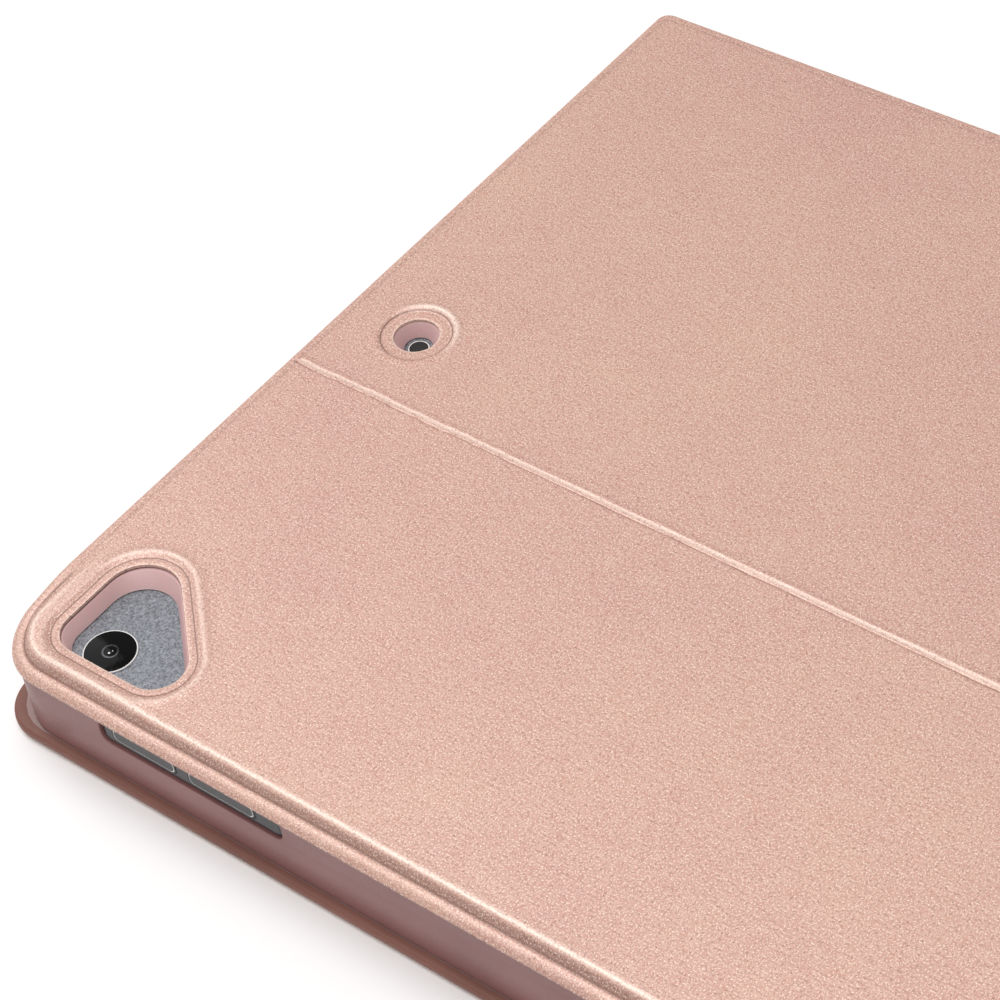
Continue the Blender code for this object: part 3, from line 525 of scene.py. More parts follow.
# Cross-sections of an edge, as (distance in from the outline, height) in mm from the closed cover's top.
# Both run from the turned-in hem, round the edge and up to the flat field.
edges = {
    "lip": [
        (1.20, -2.85), (0.95, -3.00), (0.62, -3.02), (0.40, -2.90), (0.28, -2.65), (0.34, -2.40),
        (0.55, -2.12), (0.95, -1.82), (1.40, -1.60), (1.80, -1.50), (2.10, -1.49), (2.35, -1.57),
        (2.48, -1.50), (2.60, -1.25), (2.75, -0.95), (2.95, -0.65), (3.15, -0.38), (3.45, -0.10),
        (3.85, 0.05), (4.45, 0.06), (5.30, 0.00),
    ],
    "turned": [
        (1.30, -1.98), (0.95, -2.00), (0.55, -1.99), (0.22, -1.88), (0.05, -1.60), (0.00, -1.20),
        (0.03, -0.85), (0.14, -0.55), (0.32, -0.32), (0.60, -0.17), (0.95, -0.10), (1.35, -0.08),
        (1.62, -0.10), (1.75, -0.14), (1.90, -0.09), (2.10, -0.03), (2.50, 0.00), (3.00, 0.00),
        (3.60, 0.00), (4.30, 0.00), (5.30, 0.00),
    ],
}
# The base's hem reaches further in, under the lining.
edges["baseHem"] = [(5.0, -1.97), (3.2, -1.98), (1.6, -1.99), (0.55, -1.99)] + edges["turned"][3:17]
edges["baseHem"] += [(3.0, 0.0), (4.2, 0.0), (5.3, 0.0)]
edgeRows = len(edges["lip"])
edgeReach = edges["lip"][-1][0] * mm


def spaced(start, stop, step):
    count = max(1, round((stop - start) / step))
    return [start + (stop - start) * (k + 1) / count for k in range(count)]


def sideRows(blockReach, step):
    # Distances in from a side: the edge rows, then even rows to the end of the corner block.
    rows = [edgeReach * k / (edgeRows - 1) for k in range(edgeRows)]
    return rows + spaced(edgeReach, blockReach, step)


def sheetPlan(xs, ys, low, high, corner, lipAmount, plain="turned"):
    # Moves the points of an even grid to the real plan of a rounded sheet with shaped edges.
    # corner gives each end's radius and block size, and lipAmount says how much of each edge is lip.
    nx, ny = len(xs), len(ys)
    lip = np.array(edges["lip"]) * mm
    turned = np.array(edges[plain]) * mm
    place = np.zeros((ny, nx, 3))
    width, depth = high[0] - low[0], high[1] - low[1]
    for j in range(ny):
        atRear = j >= ny // 2
        fromEndRow = ny - 1 - j if atRear else j
        alongY = depth - ys[j] if atRear else ys[j]
        radius, blockRows = corner["rear" if atRear else "front"]
        for i in range(nx):
            atRight = i >= nx // 2
            fromEndColumn = nx - 1 - i if atRight else i
            alongX = width - xs[i] if atRight else xs[i]
            ring = min(fromEndRow, fromEndColumn)
            inBlock = max(fromEndRow, fromEndColumn) <= blockRows
            inX, inY, z = alongX, alongY, 0.0
            offset = min(alongX, alongY)
            if ring < edgeRows:
                onFrontOrRear = fromEndRow <= fromEndColumn
                along = ys[j]
                if inBlock and not onFrontOrRear and blockRows > ring:
                    along = xs[blockRows] * (fromEndRow - ring) / (blockRows - ring)
                amount = lipAmount(onFrontOrRear, atRear, along)
                offset, z = lip[ring] * amount + turned[ring] * (1 - amount)
                if fromEndRow <= fromEndColumn:
                    inY = offset
                else:
                    inX = offset
            if inBlock and ring < blockRows:
                reach = xs[blockRows] if not atRear else depth - ys[ny - 1 - blockRows]
                bend = max(radius - offset, 0.0)
                arc = bend * math.pi / 4
                straight = reach - max(radius, offset)
                share = (max(fromEndRow, fromEndColumn) - ring) / (blockRows - ring)
                length = share * (arc + straight)
                if length < arc:
                    angle = math.pi / 4 - length / bend
                    far = radius - bend * math.sin(angle)
                    near = radius - bend * math.cos(angle)
                else:
                    far = max(radius, offset) + length - arc
                    near = offset
                if fromEndRow <= fromEndColumn:
                    inX, inY = far, near
                else:
                    inX, inY = near, far
            place[j, i] = (
                high[0] - inX if atRight else low[0] + inX,
                high[1] - inY if atRear else low[1] + inY,
                z,
            )
    return place


def gridSheet(name, place):
    ny, nx = place.shape[:2]
    bpy.ops.object.select_all(action="DESELECT")
    bpy.ops.mesh.primitive_grid_add(x_subdivisions=nx - 1, y_subdivisions=ny - 1, size=2)
    obj = named(name)
    co = np.zeros(len(obj.data.vertices) * 3, np.float32)
    obj.data.vertices.foreach_get("co", co)
    co = co.reshape(-1, 3)
    column = np.rint((co[:, 0] + 1) / 2 * (nx - 1)).astype(int)
    row = np.rint((co[:, 1] + 1) / 2 * (ny - 1)).astype(int)
    obj.data.vertices.foreach_set("co", place[row, column].astype(np.float32).ravel())
    obj.data.update()
    return obj


def laidFlat(obj):
    # The leather's own map: metres along and across the sheet, as it was cut.
    for old in list(obj.data.uv_layers):
        obj.data.uv_layers.remove(old)
    layer = obj.data.uv_layers.new(name="flat")
    co = np.zeros(len(obj.data.vertices) * 3, np.float32)
    obj.data.vertices.foreach_get("co", co)
    co = co.reshape(-1, 3)
    loops = np.zeros(len(obj.data.loops), np.int32)
    obj.data.loops.foreach_get("vertex_index", loops)
    flat = np.stack([co[:, 0], co[:, 1] + 0.6 * co[:, 2]], axis=1)
    layer.data.foreach_set("uv", flat[loops].astype(np.float32).ravel())


cover = {
    "cornerRadius": 11 * mm,
    "rearRadius": 2.5 * mm,
    "lipFadeFrom": 1 * mm,
    "lipFadeTo": 21 * mm,
    "fine": 0.37 * mm,
    "coarse": 5 * mm,
    "fineToRight": 46 * mm,
    "fineToRear": 42 * mm,
    "creaseBefore": 1.6 * mm,
    "creaseBehind": 2.6 * mm,
    "creaseStep": 0.2 * mm,
    "aroundMic": 8 * mm,
    "betweenStep": 1.8 * mm,
    "skin": 0.5 * mm,
    "micAt": (14.7 * mm, 88.4 * mm),
    "micHole": 3.84 * mm,
    "micRing": 5.9 * mm,
}

blockReach = cover["cornerRadius"] + 0.5 * mm
length, depth = right - left, rear - front
creaseIn = crease - front
micX, micY = left + cover["micAt"][0], front + cover["micAt"][1]
nearRows = sideRows(blockReach, cover["fine"])
blockRows = len(nearRows) - 1
xs = nearRows + spaced(blockReach, cover["fineToRight"], cover["fine"])
xs = xs + spaced(cover["fineToRight"], length - blockReach, cover["coarse"])
xs = xs + [length - d for d in reversed(nearRows[:-1])]
creaseStart, creaseStop = creaseIn - cover["creaseBefore"], creaseIn + cover["creaseBehind"]
micStart, micStop = cover["micAt"][1] - cover["aroundMic"], cover["micAt"][1] + cover["aroundMic"]
ys = nearRows + spaced(blockReach, cover["fineToRear"], cover["fine"])
ys = ys + spaced(cover["fineToRear"], creaseStart, cover["coarse"])
ys = ys + spaced(creaseStart, creaseStop, cover["creaseStep"])
ys = ys + spaced(creaseStop, micStart, cover["betweenStep"])
ys = ys + spaced(micStart, micStop, cover["fine"])
ys = ys + spaced(micStop, depth - edgeReach, cover["coarse"])
ys = ys + [depth - d for d in reversed(sideRows(edgeReach, 1)[: edgeRows - 1])]


def coverLip(onFrontOrRear, atRear, y):
    if atRear:
        return 0.0
    if onFrontOrRear:
        return 1.0
    return 1.0 - float(ramp(y, cover["lipFadeFrom"], cover["lipFadeTo"]))


cornerPlan = {"front": (cover["cornerRadius"], blockRows), "rear": (cover["rearRadius"], edgeRows - 1)}
place = sheetPlan(xs, ys, (left, front), (right, rear), cornerPlan, coverLip)
px, py, pz = place[..., 0], place[..., 1], place[..., 2]
sideways = np.minimum(px - left, right - px)
fromFront = py - front

# The sewn-in board gives the field a very slight crown and a few soft hollows.
field = ramp(np.minimum(sideways, rear - py), 2.5 * mm, 9 * mm)
hollows = 0.035 * np.sin(px * 41 + 1.3) * np.sin(py * 57 + 0.4) + 0.02 * np.sin(px * 97 + py * 61)
pz += field * hollows * mm

# Pressed border of the camera window, in mm outwards from the cut edge.
border = [
    (-3.0, -0.36), (0.0, -0.36), (0.25, -0.26), (1.10, -0.24), (1.32, -0.36), (1.50, -0.28), (1.90, -0.08),
    (2.20, 0.07), (2.50, 0.20), (2.90, 0.17), (3.60, 0.04), (4.60, 0.0), (400.0, 0.0),
]
gap = distanceOutside(px, py, windowOutline(0)) / mm
pressed = np.interp(gap, [d for d, z in border], [z for d, z in border])
raised = np.maximum(pressed, 0)
onTop = np.minimum(sideways, fromFront) > 2.95 * mm
pz[:] = np.where(onTop & (pressed < 0), np.minimum(pz, pressed * mm), pz)
pz[:] = np.where(onTop & (fromFront > 3.6 * mm) & (sideways > 3.6 * mm), pz + raised * mm, pz)

# Pressed ring round the microphone hole, with a raised crescent behind it.
ring = [
    (0.0, -0.42), (3.9, -0.42), (4.2, -0.34), (5.5, -0.33),
    (5.8, -0.38), (6.1, -0.12), (6.35, 0.04), (8.0, 0.0),
]
crescentTurn = 1.2
out = np.hypot(px - micX, py - micY) / mm
turn = np.arctan2(py - micY, px - micX)
crescent = np.exp(-((out - 6.8) / 0.5) ** 2) * (0.04 + 0.20 * np.clip(np.cos(turn - crescentTurn), 0, 1))
pz += np.where(out < 9, (np.interp(out, [d for d, z in ring], [z for d, z in ring]) + crescent) * mm, 0)

# The crease: a steep near wall, a narrow floor and a broad soft far side.
groove = [
    (-3.0, 0.0), (-0.7, 0.04), (-0.42, -0.01), (-0.24, -0.34), (-0.06, -0.44), (0.12, -0.35), (0.36, -0.12),
    (0.60, 0.06), (0.85, 0.12), (1.20, 0.08), (1.8, 0.0),
]


def acrossCrease(x, y):
    # Distance in mm behind the crease, which wanders a little as pressed leather does.
    wander = 0.07 * np.sin(x * 310) + 0.06 * np.sin(x * 743 + 1) + 0.04 * np.sin(x * 1900)
    return (y - crease) / mm + wander


across = acrossCrease(px, py)
dent = np.interp(across, [d for d, z in groove], [z for d, z in groove])
ends = ramp(sideways, 1.2 * mm, 2.4 * mm)
pz += dent * ends * mm
pz += top

coverLeather = gridSheet("coverLeather", place)
thick = coverLeather.modifiers.new("thickness", "SOLIDIFY")
thick.thickness = cover["skin"]
thick.offset = -1
settle(coverLeather)


def prismOf(name, outline, low, high):
    # A closed prism on an outline, from a filled circle with as many points.
    bpy.ops.object.select_all(action="DESELECT")
    bpy.ops.mesh.primitive_cylinder_add(vertices=len(outline), radius=1, depth=1, end_fill_type="NGON")
    obj = named(name)
    count = len(outline)
    vertices = obj.data.vertices
    angles = sorted(
        range(len(vertices)),
        key=lambda k: (vertices[k].co.z > 0, math.atan2(vertices[k].co.y, vertices[k].co.x)),
    )
    middle = Vector((sum(p[0] for p in outline) / count, sum(p[1] for p in outline) / count))
    turned = sorted(outline, key=lambda p: math.atan2(p[1] - middle.y, p[0] - middle.x))
    for order, k in enumerate(angles):
        x, y = turned[order % count]
        vertices[k].co = (x, y, low if order < count else high)
    return obj


def circleOutline(x, y, radius, steps):
    turns = [2 * math.pi * k / steps for k in range(steps)]
    return [(x + radius * math.cos(turn), y + radius * math.sin(turn)) for turn in turns]


toolSpan = (top - 4 * mm, top + 2 * mm)
subtract(coverLeather, prismOf("windowTool", windowOutline(0), *toolSpan))
subtract(coverLeather, prismOf("micTool", circleOutline(micX, micY, cover["micHole"], 72), *toolSpan))
smooth(coverLeather, 50)
laidFlat(coverLeather)


def pointsOf(obj):
    co = np.zeros(len(obj.data.vertices) * 3, np.float32)
    obj.data.vertices.foreach_get("co", co)
    return co.reshape(-1, 3).astype(float)


def storeOnPoints(obj, name, values):
    layer = obj.data.attributes.new(name, "FLOAT", "POINT")
    layer.data.foreach_set("value", values.astype(np.float32))


def hillAt(value, middle, width):
    return np.exp(-((value - middle) / width) ** 2)


def distanceIn(x, y, low, high, radius):
    # Distance in from the outline of a sheet with rounded front corners.
    dx = np.minimum(x - low[0], high[0] - x)
    dy = y - low[1]
    bent = radius - np.hypot(np.maximum(radius - dx, 0), np.maximum(radius - dy, 0))
    inCorner = (dx < radius) & (dy < radius)
    return np.where(inCorner, bent, np.minimum(np.minimum(dx, dy), high[1] - y))


# Painted highlights on crests, hole edges and the crease, and painted shade in grooves and under the hem. A
# point off a line holds offLine.
offLine = 99
co = pointsOf(coverLeather)
x, y, z = co[:, 0], co[:, 1], co[:, 2]
lipIn = distanceIn(x, y, (left, front), (right, rear), cover["cornerRadius"]) / mm
lipHere = np.where(y - front < rear - y, 1 - ramp(y - front, 8 * mm, 30 * mm), 0)
windowGap = distanceOutside(x, y, windowOutline(0)) / mm
micOut = np.hypot(x - micX, y - micY) / mm
micTurn = np.arctan2(y - micY, x - micX)
creaseAcross = acrossCrease(x, y)
sideways = np.minimum(x - left, right - x)
lipPaintedLightAndShade = 0.85 * hillAt(lipIn, 3.85, 0.42) - 0.45 * hillAt(lipIn, 2.85, 0.34) + 0.15 * hillAt(lipIn, 1.5, 0.5)
paintedLightAndShade = lipHere * lipPaintedLightAndShade
paintedLightAndShade += 0.55 * hillAt(windowGap, 2.5, 0.42) * (0.35 + 0.65 * ramp(x + y - left - front, 24 * mm, 34 * mm))
paintedLightAndShade += 0.5 * hillAt(windowGap, 0.0, 0.22) - 0.10 * hillAt(windowGap, 1.75, 0.3)
micBehind = np.clip(np.cos(micTurn - crescentTurn), 0, 1)
paintedLightAndShade += 0.9 * hillAt(micOut, 6.65, 0.5) * micBehind + 0.6 * hillAt(micOut, 3.84, 0.22)
paintedLightAndShade += ramp(sideways, 1.2 * mm, 2.4 * mm) * 0.75 * hillAt(creaseAcross, 0.45, 0.30)
paintedLightAndShade -= 0.22 * (1 - lipHere) * hillAt(lipIn, 1.75, 0.3)
paintedLightAndShade -= 0.8 * ramp(top - z, 2.45 * mm, 2.8 * mm)
storeOnPoints(coverLeather, "paintedLightAndShade", np.clip(paintedLightAndShade, -1, 1))
storeOnPoints(coverLeather, "lipIn", np.where(lipHere > 0.5, lipIn, offLine))
storeOnPoints(coverLeather, "windowGap", windowGap)
storeOnPoints(coverLeather, "micOut", micOut)
storeOnPoints(coverLeather, "creaseAcross", np.where(sideways > 1.3 * mm, creaseAcross, offLine))
paint(coverLeather, roseLeatherPressed)
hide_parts("top_skin", "leg_skin")
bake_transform(coverLeather)
print("cover leather", len(coverLeather.data.polygons), "faces")


def ringBand(name, loops):
    # A closed ring through loops of points, from a torus with as many points each way.
    around, across = len(loops[0]), len(loops)
    bpy.ops.object.select_all(action="DESELECT")
    bpy.ops.mesh.primitive_torus_add(
        major_segments=around, minor_segments=across, major_radius=1, minor_radius=0.25
    )
    obj = named(name)
    for k, vertex in enumerate(obj.data.vertices):
        vertex.co = loops[k % across][k // across]
    pickOnly(obj)
    bpy.ops.object.mode_set(mode="EDIT")
    bpy.ops.mesh.select_all(action="SELECT")
    bpy.ops.mesh.normals_make_consistent(inside=False)
    bpy.ops.object.mode_set(mode="OBJECT")
    return obj


def atHeight(outline, z):
    return [(x, y, z) for x, y in outline]


# Base cover and spine.

base = {
    "cornerRadius": 8 * mm,
    "rearRadius": 2.0 * mm,
    "step": 1.2 * mm,
    "coarse": 6 * mm,
    "skin": 0.5 * mm,
}
baseThickness = baseHigh.z - baseLow.z
baseLength = baseHigh.x - baseLow.x
nearRows = sideRows(blockReach, base["step"])
blockRows = len(nearRows) - 1
xs = nearRows + spaced(blockReach, baseLength - blockReach, base["coarse"])
xs = xs + [baseLength - d for d in reversed(nearRows[:-1])]
baseDepth = baseHigh.y - baseLow.y
ys = nearRows + spaced(blockReach, baseDepth - edgeReach, base["coarse"])
ys = ys + [baseDepth - d for d in reversed(sideRows(edgeReach, 1)[: edgeRows - 1])]
cornerPlan = {"front": (base["cornerRadius"], blockRows), "rear": (base["rearRadius"], edgeRows - 1)}
baseFrom, baseTo = (baseLow.x, baseLow.y), (baseHigh.x, baseHigh.y)
place = sheetPlan(xs, ys, baseFrom, baseTo, cornerPlan, lambda *at: 0.0, "baseHem")
place[..., 2] = baseLow.z - place[..., 2] * (baseThickness / (2.0 * mm))
baseLeather = gridSheet("baseLeather", place)
pickOnly(baseLeather)
bpy.ops.object.mode_set(mode="EDIT")
bpy.ops.mesh.select_all(action="SELECT")
bpy.ops.mesh.flip_normals()
bpy.ops.object.mode_set(mode="OBJECT")
thick = baseLeather.modifiers.new("thickness", "SOLIDIFY")
thick.thickness = base["skin"]
thick.offset = -1
settle(baseLeather)
smooth(baseLeather, 50)
laidFlat(baseLeather)
paint(baseLeather, roseLeather, edgePaintedShade)
# The base's edge and turned hem take the darker brown: painted shade.
for face in baseLeather.data.polygons:
    middle = face.center
    edgeIn = min(middle.x - baseLow.x, baseHigh.x - middle.x, middle.y - baseLow.y)
    if middle.z > baseLow.z + 0.5 * mm and edgeIn < 12 * mm:
        face.material_index = 1
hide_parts("base_skin")
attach(baseLeather, "base")

spineLeather = copyOfNode("spine_skin", "spineLeather")
bevelAll(spineLeather, 0.2 * mm)
smooth(spineLeather, 40)
paint(spineLeather, roseLeatherPlain)
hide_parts("spine_skin")
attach(spineLeather, "spine")
print("base cover and spine")

# Front board, with room for the pressed lip and border.

board = {"inset": 4.4 * mm, "corner": 5 * mm, "windowRoom": 3.2 * mm}
boardLow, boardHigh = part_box("top_board")
frontBoard = blockBetween(
    "frontBoard",
    (left + board["inset"], front + board["inset"], boardLow.z),
    (right - board["inset"], boardHigh.y, boardHigh.z),
)
bevelEdges(frontBoard, lambda a, b: upright(a, b) and a.y < 0, board["corner"], 8)
subtract(frontBoard, prismOf("boardWindowTool", windowOutline(-board["windowRoom"]), *toolSpan))
smooth(frontBoard)
paint(frontBoard, boardFibre)
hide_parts("top_board")
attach(frontBoard, "tray")

# Tray and the funnels under its two round openings.

tray = {
    "windowInset": 0.3 * mm,
    "volumeFromLeft": (22.5 * mm, 58.5 * mm),
    "cutoutEdge": 0.55 * mm,
    "softEdge": 0.3 * mm,
}
trayMoulding = copyOfNode("tray_shell", "trayMoulding")
trayTool = prismOf("trayWindowTool", windowOutline(tray["windowInset"]), trayHigh.z - 1.2 * mm, top + 2 * mm)
subtract(trayMoulding, trayTool)


def roundVolumeCutout(a, b):
    inPlane = abs(a.y - trayLow.y) < 0.02 * mm and abs(b.y - trayLow.y) < 0.02 * mm
    low, high = (left + d for d in tray["volumeFromLeft"])
    across = all(low - mm / 2 < p.x < high + mm / 2 for p in (a, b))
    inside = all(trayLow.z + 2 * mm < p.z < trayHigh.z - 0.5 * mm for p in (a, b))
    return inPlane and across and inside


bevelEdges(trayMoulding, roundVolumeCutout, tray["cutoutEdge"], 3)
bevelAll(trayMoulding, tray["softEdge"], 2, 40)
smooth(trayMoulding, 40)
paint(trayMoulding, mauvePlastic)
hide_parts("tray_shell")
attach(trayMoulding, "tray")

trayTop = trayHigh.z
funnelShape = [
    (0.10, 0.0, top - 1.02 * mm), (0.20, 0.0, top - 0.97 * mm), (0.32, 0.02, top - 1.03 * mm),
    (1.02, 0.46, trayTop - 0.66 * mm), (1.10, 0.50, trayTop - 0.80 * mm), (1.02, 0.50, trayTop - 0.86 * mm),
    (-0.4, 0.0, trayTop + 0.05 * mm), (-0.4, 0.0, top - 1.2 * mm),
]
windowFunnel = ringBand("windowFunnel", [
    [(x + shift * mm, y - shift * mm, z) for x, y in windowOutline(inset * mm)]
    for inset, shift, z in funnelShape
])
micFunnel = ringBand("micFunnel", [
    atHeight(circleOutline(micX, micY, r * mm, 64), z)
    for r, z in [
        (3.95, top - 0.98 * mm), (3.75, top - 0.95 * mm), (3.6, top - 1.05 * mm), (2.50, trayTop - 0.62 * mm),
        (2.40, trayTop - 0.80 * mm), (2.6, trayTop - 0.86 * mm), (3.2, trayTop - 0.3 * mm),
        (4.3, trayTop + 0.4 * mm), (4.3, top - 1.2 * mm),
    ]
])
# The funnels take the lighter mauve copy, which is painted light.
for funnel, body in ((windowFunnel, "tray"), (micFunnel, "leg")):
    smooth(funnel, 50)
    paint(funnel, mauvePaintedLight)
    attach(funnel, body)
print("tray")

# Keyboard.

for node, name in (("keyboard_top_plate", "keyboardDeck"), ("keyboard_bottom_shell", "keyboardShell")):
    piece = copyOfNode(node, name)
    bevelAll(piece, 0.12 * mm, 2, 40)
    smooth(piece, 40)
    paint(piece, deckPaint)
    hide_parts(node)
    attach(piece, "base")

keys = {
    "key_escape": ["esc"],
    "keys_function_row": ["F%d" % k for k in range(1, 13)] + ["del"],
    "keys_number_row": list("`1234567890-="),
    "key_backspace": ["back"],
    "key_tab": ["tab"],
    "keys_upper_row": list("QWERTYUIOP[]\\"),
    "key_caps_lock": ["caps"],
    "keys_home_row": list("ASDFGHJKL;'"),
    "key_enter": ["enter"],
    "key_left_shift": ["shift"],
    "keys_lower_row": list("ZXCVBNM,./"),
    "key_right_shift": ["shift"],
    "keys_left_modifiers": ["fn", "ctrl", "alt", "menu"],
    "key_space": [""],
    "keys_right_modifiers": ["menu", "alt"],
    "key_arrow_left": ["<"],
    "key_arrow_up": ["^"],
    "key_arrow_down": ["v"],
    "key_arrow_right": [">"],
}
legend = {"letterHeight": 3.6 * mm, "wordHeight": 2.3 * mm, "relief": 0.015 * mm}
legendInk = mouldedFinish("legend_ink", (0.20, 0.20, 0.205), (0.25, 0.25, 0.255), 0.5, 0.6)


def keyTops(piece):
    # Middle of each cap's flat top, from left to right.
    highest = max(v.co.z for v in piece.data.vertices)
    found = []
    for face in piece.data.polygons:
        if face.normal.z > 0.9 and face.center.z > highest - 0.01 * mm:
            ends = [piece.data.vertices[k].co for k in face.vertices]
            across = [p.x for p in ends]
            along = [p.y for p in ends]
            found.append(((min(across) + max(across)) / 2, (min(along) + max(along)) / 2, highest))
    return sorted(found)


def printedLegend(words, at):
    bpy.ops.object.select_all(action="DESELECT")
    bpy.ops.object.text_add(location=at)
    text = bpy.context.object
    text.data.body = words
    text.data.size = legend["letterHeight"] if len(words) == 1 else legend["wordHeight"]
    text.data.align_x = "CENTER"
    text.data.align_y = "CENTER"
    text.data.resolution_u = 3
    text.data.extrude = legend["relief"]
    bpy.ops.object.convert(target="MESH")
    bpy.ops.object.transform_apply(location=True, rotation=True, scale=True)
    mesh = bpy.context.object
    paint(mesh, legendInk)
    return mesh


for node, words in keys.items():
    piece = copyOfNode(node, node + "_caps")
    tops = keyTops(piece)
    bevelAll(piece, 0.25 * mm, 3, 40)
    smooth(piece, 40)
    paint(piece, keyPlastic)
    marks = [printedLegend(word, at) for word, at in zip(words, tops) if word]
    if marks:
        joined(node + "_caps", [piece] + marks)
    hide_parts(node)
    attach(piece, node)
print("keyboard")

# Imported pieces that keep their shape.

kept = {
    "base_board": boardFibre,
    "spine_board": boardFibre,
    "leg_board": boardFibre,
    "base_lining": liningFabric,
    "spine_lining": liningFabric,
    "leg_lining": liningFabric,
    "stand_rod": rodSteel,
    "charging_port": rodSteel,
    "stand_magnet_left": magnetNickel,
    "stand_magnet_right": magnetNickel,
    "closure_magnet_left": magnetNickel,
    "closure_magnet_right": magnetNickel,
    "key_matrix_board": circuitGreen,
    "controller_board": circuitGreen,
    "key_dome_sheet": siliconeMilk,
    "battery": batteryFoil,
    "status_light_window": lightLens,
    "power_switch": controlPlastic,
    "pair_button": controlPlastic,
}
for node, finish in kept.items():
    paint(nodes[node], finish)

# The tablet only stands in the case and isn't part of it.

tablet = {
    "length": 240 * mm,
    "depth": 169.5 * mm,
    "thickness": 7.5 * mm,
    "corner": 7.5 * mm,
    "fromLeft": 3.5 * mm,
    "lensAt": (16.1 * mm, 11.8 * mm),
    "lensRadius": 4.27 * mm,
    "glassInset": 2.6 * mm,
    "underBack": 0.95 * mm,
    "sideFromLeft": (22.0 * mm, 59.0 * mm),
    "sideUnderBack": (6.4 * mm, 0.6 * mm),
    "sideBehindWall": 0.35 * mm,
    "buttonUnderBack": (4.1 * mm, 1.9 * mm),
    "buttonsFromLeft": {"buttonUp": (25.4 * mm, 37.3 * mm), "buttonDown": (40.6 * mm, 52.8 * mm)},
}
tabletGrey = brushedFinish(
    "tablet_grey", (0.08, 0.085, 0.10), (0.34, 0.355, 0.385), (3000, 2600, 3000), 0.42, 0.6
)
tabletEdge = brushedFinish(
    "tablet_edge", (0.045, 0.047, 0.05), (0.10, 0.10, 0.105), (900, 900, 5200), 0.34, 0.75
)
lensBlack = mouldedFinish("lens_black", (0.002, 0.002, 0.002), (0.004, 0.004, 0.004), 0.05, 0.09)
lensBlack.node_tree.nodes["Principled BSDF"].inputs["Specular IOR Level"].default_value = 0.12
irisGrey = brushedFinish("lens_iris", (0.05, 0.05, 0.055), (0.10, 0.10, 0.11), (900, 900, 900), 0.3)
gapBlack = mouldedFinish("gap_black", (0.004, 0.004, 0.004), (0.008, 0.008, 0.008), 0.5, 0.6)
screenBlack = mouldedFinish("screen_black", (0.010, 0.010, 0.012), (0.014, 0.014, 0.016), 0.04, 0.08)

x0, y0 = left + tablet["fromLeft"], front + tablet["fromLeft"]
pocketFloor = trayTop - tablet["underBack"] - tablet["thickness"]
back = pocketFloor + tablet["thickness"]
x1, y1 = x0 + tablet["length"], y0 + tablet["depth"]
tabletBody = blockBetween("tabletProp", (x0, y0, pocketFloor), (x1, y1, back))
bevelEdges(tabletBody, upright, tablet["corner"], 10)
bevelAll(tabletBody, 2.4 * mm, 6, 60)
smooth(tabletBody, 40)
paint(tabletBody, tabletGrey)
glassInset = tablet["glassInset"]
screenLow = (x0 + glassInset, y0 + glassInset, pocketFloor - 0.02 * mm)
screenHigh = (x1 - glassInset, y1 - glassInset, pocketFloor + 0.5 * mm)
screen = blockBetween("tabletScreen", screenLow, screenHigh)
bevelEdges(screen, upright, 5 * mm, 8)
smooth(screen, 40)
paint(screen, screenBlack)
props = [tabletBody, screen]


def disc(name, x, y, radius, low, high, finish, bevel=0.0):
    bpy.ops.object.select_all(action="DESELECT")
    middle = (x, y, (low + high) / 2)
    bpy.ops.mesh.primitive_cylinder_add(vertices=64, radius=radius, depth=high - low, location=middle)
    obj = named(name)
    settle(obj)
    if bevel:
        bevelAll(obj, bevel, 3, 50)
    smooth(obj, 40)
    paint(obj, finish)
    return obj


lensX, lensY = left + tablet["lensAt"][0], front + tablet["lensAt"][1]
lensSteps = [
    ("lensTrim", tablet["lensRadius"], 0.22, keyPlastic, 0.04),
    ("lensGlass", tablet["lensRadius"] - 0.17 * mm, 0.24, lensBlack, 0.02),
    ("lensIris", 1.35 * mm, 0.26, irisGrey, 0.01),
    ("lensEye", 1.05 * mm, 0.28, lensBlack, 0.01),
]
for name, radius, rise, finish, bevel in lensSteps:
    props.append(disc(name, lensX, lensY, radius, back - 1 * mm, back + rise * mm, finish, bevel * mm))
# Two white discs on the lens are painted glints.
for name, dx, dy, radius in (("glintLarge", 0.12, -0.38, 0.17), ("glintSmall", 0.32, 0.22, 0.09)):
    glintX, glintY = lensX + dx * mm, lensY + dy * mm
    props.append(disc(name, glintX, glintY, radius * mm, back, back + 0.32 * mm, keyPlastic))


def alongDepth(a, b):
    return abs(a.x - b.x) < 1e-6 and abs(a.z - b.z) < 1e-6


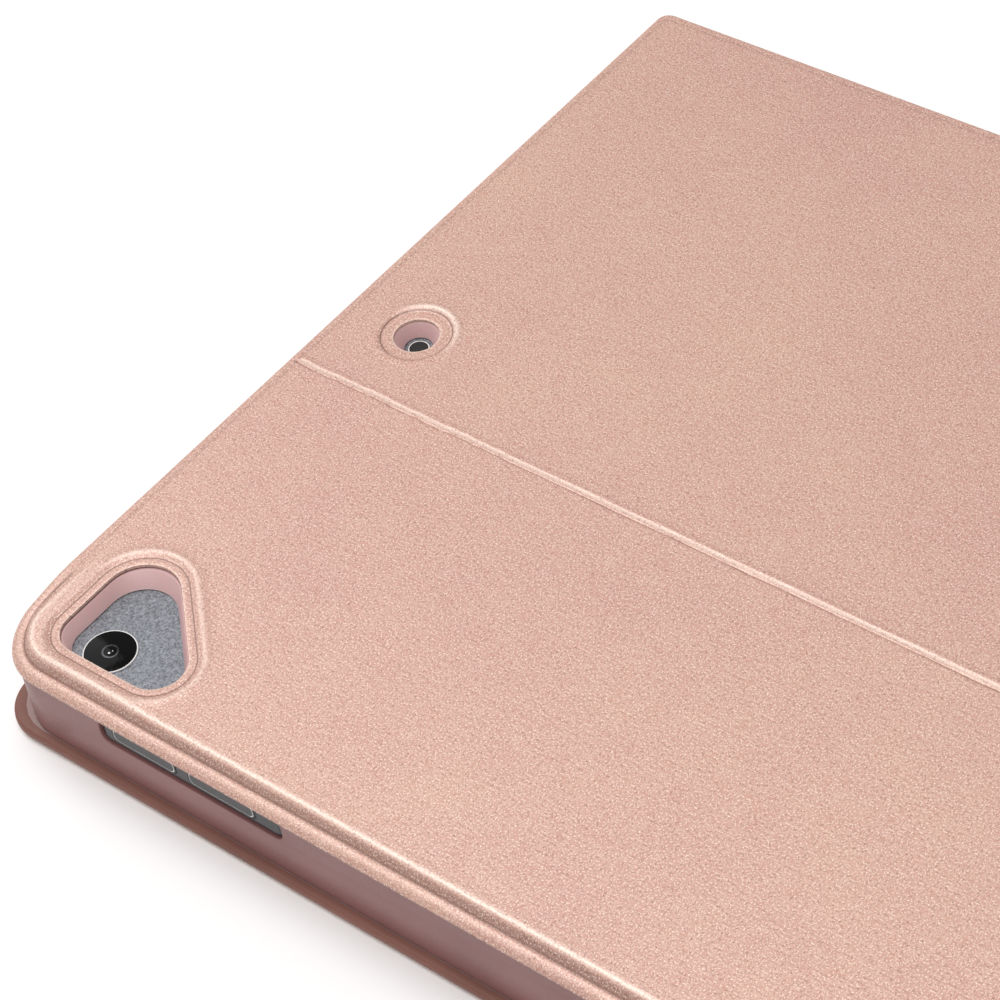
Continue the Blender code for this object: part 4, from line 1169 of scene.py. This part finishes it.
# The tablet's side, brought forward to where it shows through the volume cutout.
sideFace = trayLow.y + tablet["sideBehindWall"]
sideFrom, sideTo = (left + d for d in tablet["sideFromLeft"])
sideBottom, sideTop = (back - d for d in tablet["sideUnderBack"])
side = blockBetween("tabletSide", (sideFrom, sideFace, sideBottom), (sideTo, y0 + 1 * mm, sideTop))
bevelEdges(side, alongDepth, 2.1 * mm, 8)
bevelEdges(side, lambda a, b: abs(a.y - sideFace) < 1e-6 and abs(b.y - sideFace) < 1e-6, 1.7 * mm, 8)
smooth(side, 40)
paint(side, tabletEdge)
props.append(side)

# Each button is a black rim, a thin light line and a cap: name, growth and rise in mm, finish.
buttonLayers = [
    ("_rim", 0.50, 0.04, gapBlack),
    ("_line", 0.14, 0.10, keyPlastic),
    ("_cap", 0.0, 0.13, tabletEdge),
]
buttonBottom, buttonTop = (back - d for d in tablet["buttonUnderBack"])
for name, (buttonFrom, buttonTo) in tablet["buttonsFromLeft"].items():
    for part, growth, proud, finish in buttonLayers:
        grow = growth * mm
        low = (left + buttonFrom - grow, sideFace - proud * mm, buttonBottom - grow)
        high = (left + buttonTo + grow, y0 + 1 * mm, buttonTop + grow)
        cap = blockBetween(name + part, low, high)
        bevelEdges(cap, alongDepth, 0.85 * mm, 8)
        smooth(cap, 40)
        paint(cap, finish)
        props.append(cap)
props.append(disc("tabletMicTrim", micX, micY, 1.75 * mm, back - 0.5 * mm, back + 0.02 * mm, keyPlastic))
props.append(disc("tabletMicHole", micX, micY, 1.6 * mm, back - 0.5 * mm, back + 0.03 * mm, gapBlack))
for prop in props:
    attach(prop, "tray")
print("tablet")

# Floor.

bpy.ops.object.select_all(action="DESELECT")
bpy.ops.mesh.primitive_plane_add(size=30, location=(0, 0, -0.0002))
floor = named("paleFloor")
floorPaint, tree, links, shader = newFinish("pale_floor")
shader.inputs["Base Color"].default_value = (0.93, 0.93, 0.93, 1)
shader.inputs["Roughness"].default_value = 0.8
paint(floor, floorPaint)

bpy.context.view_layer.update()
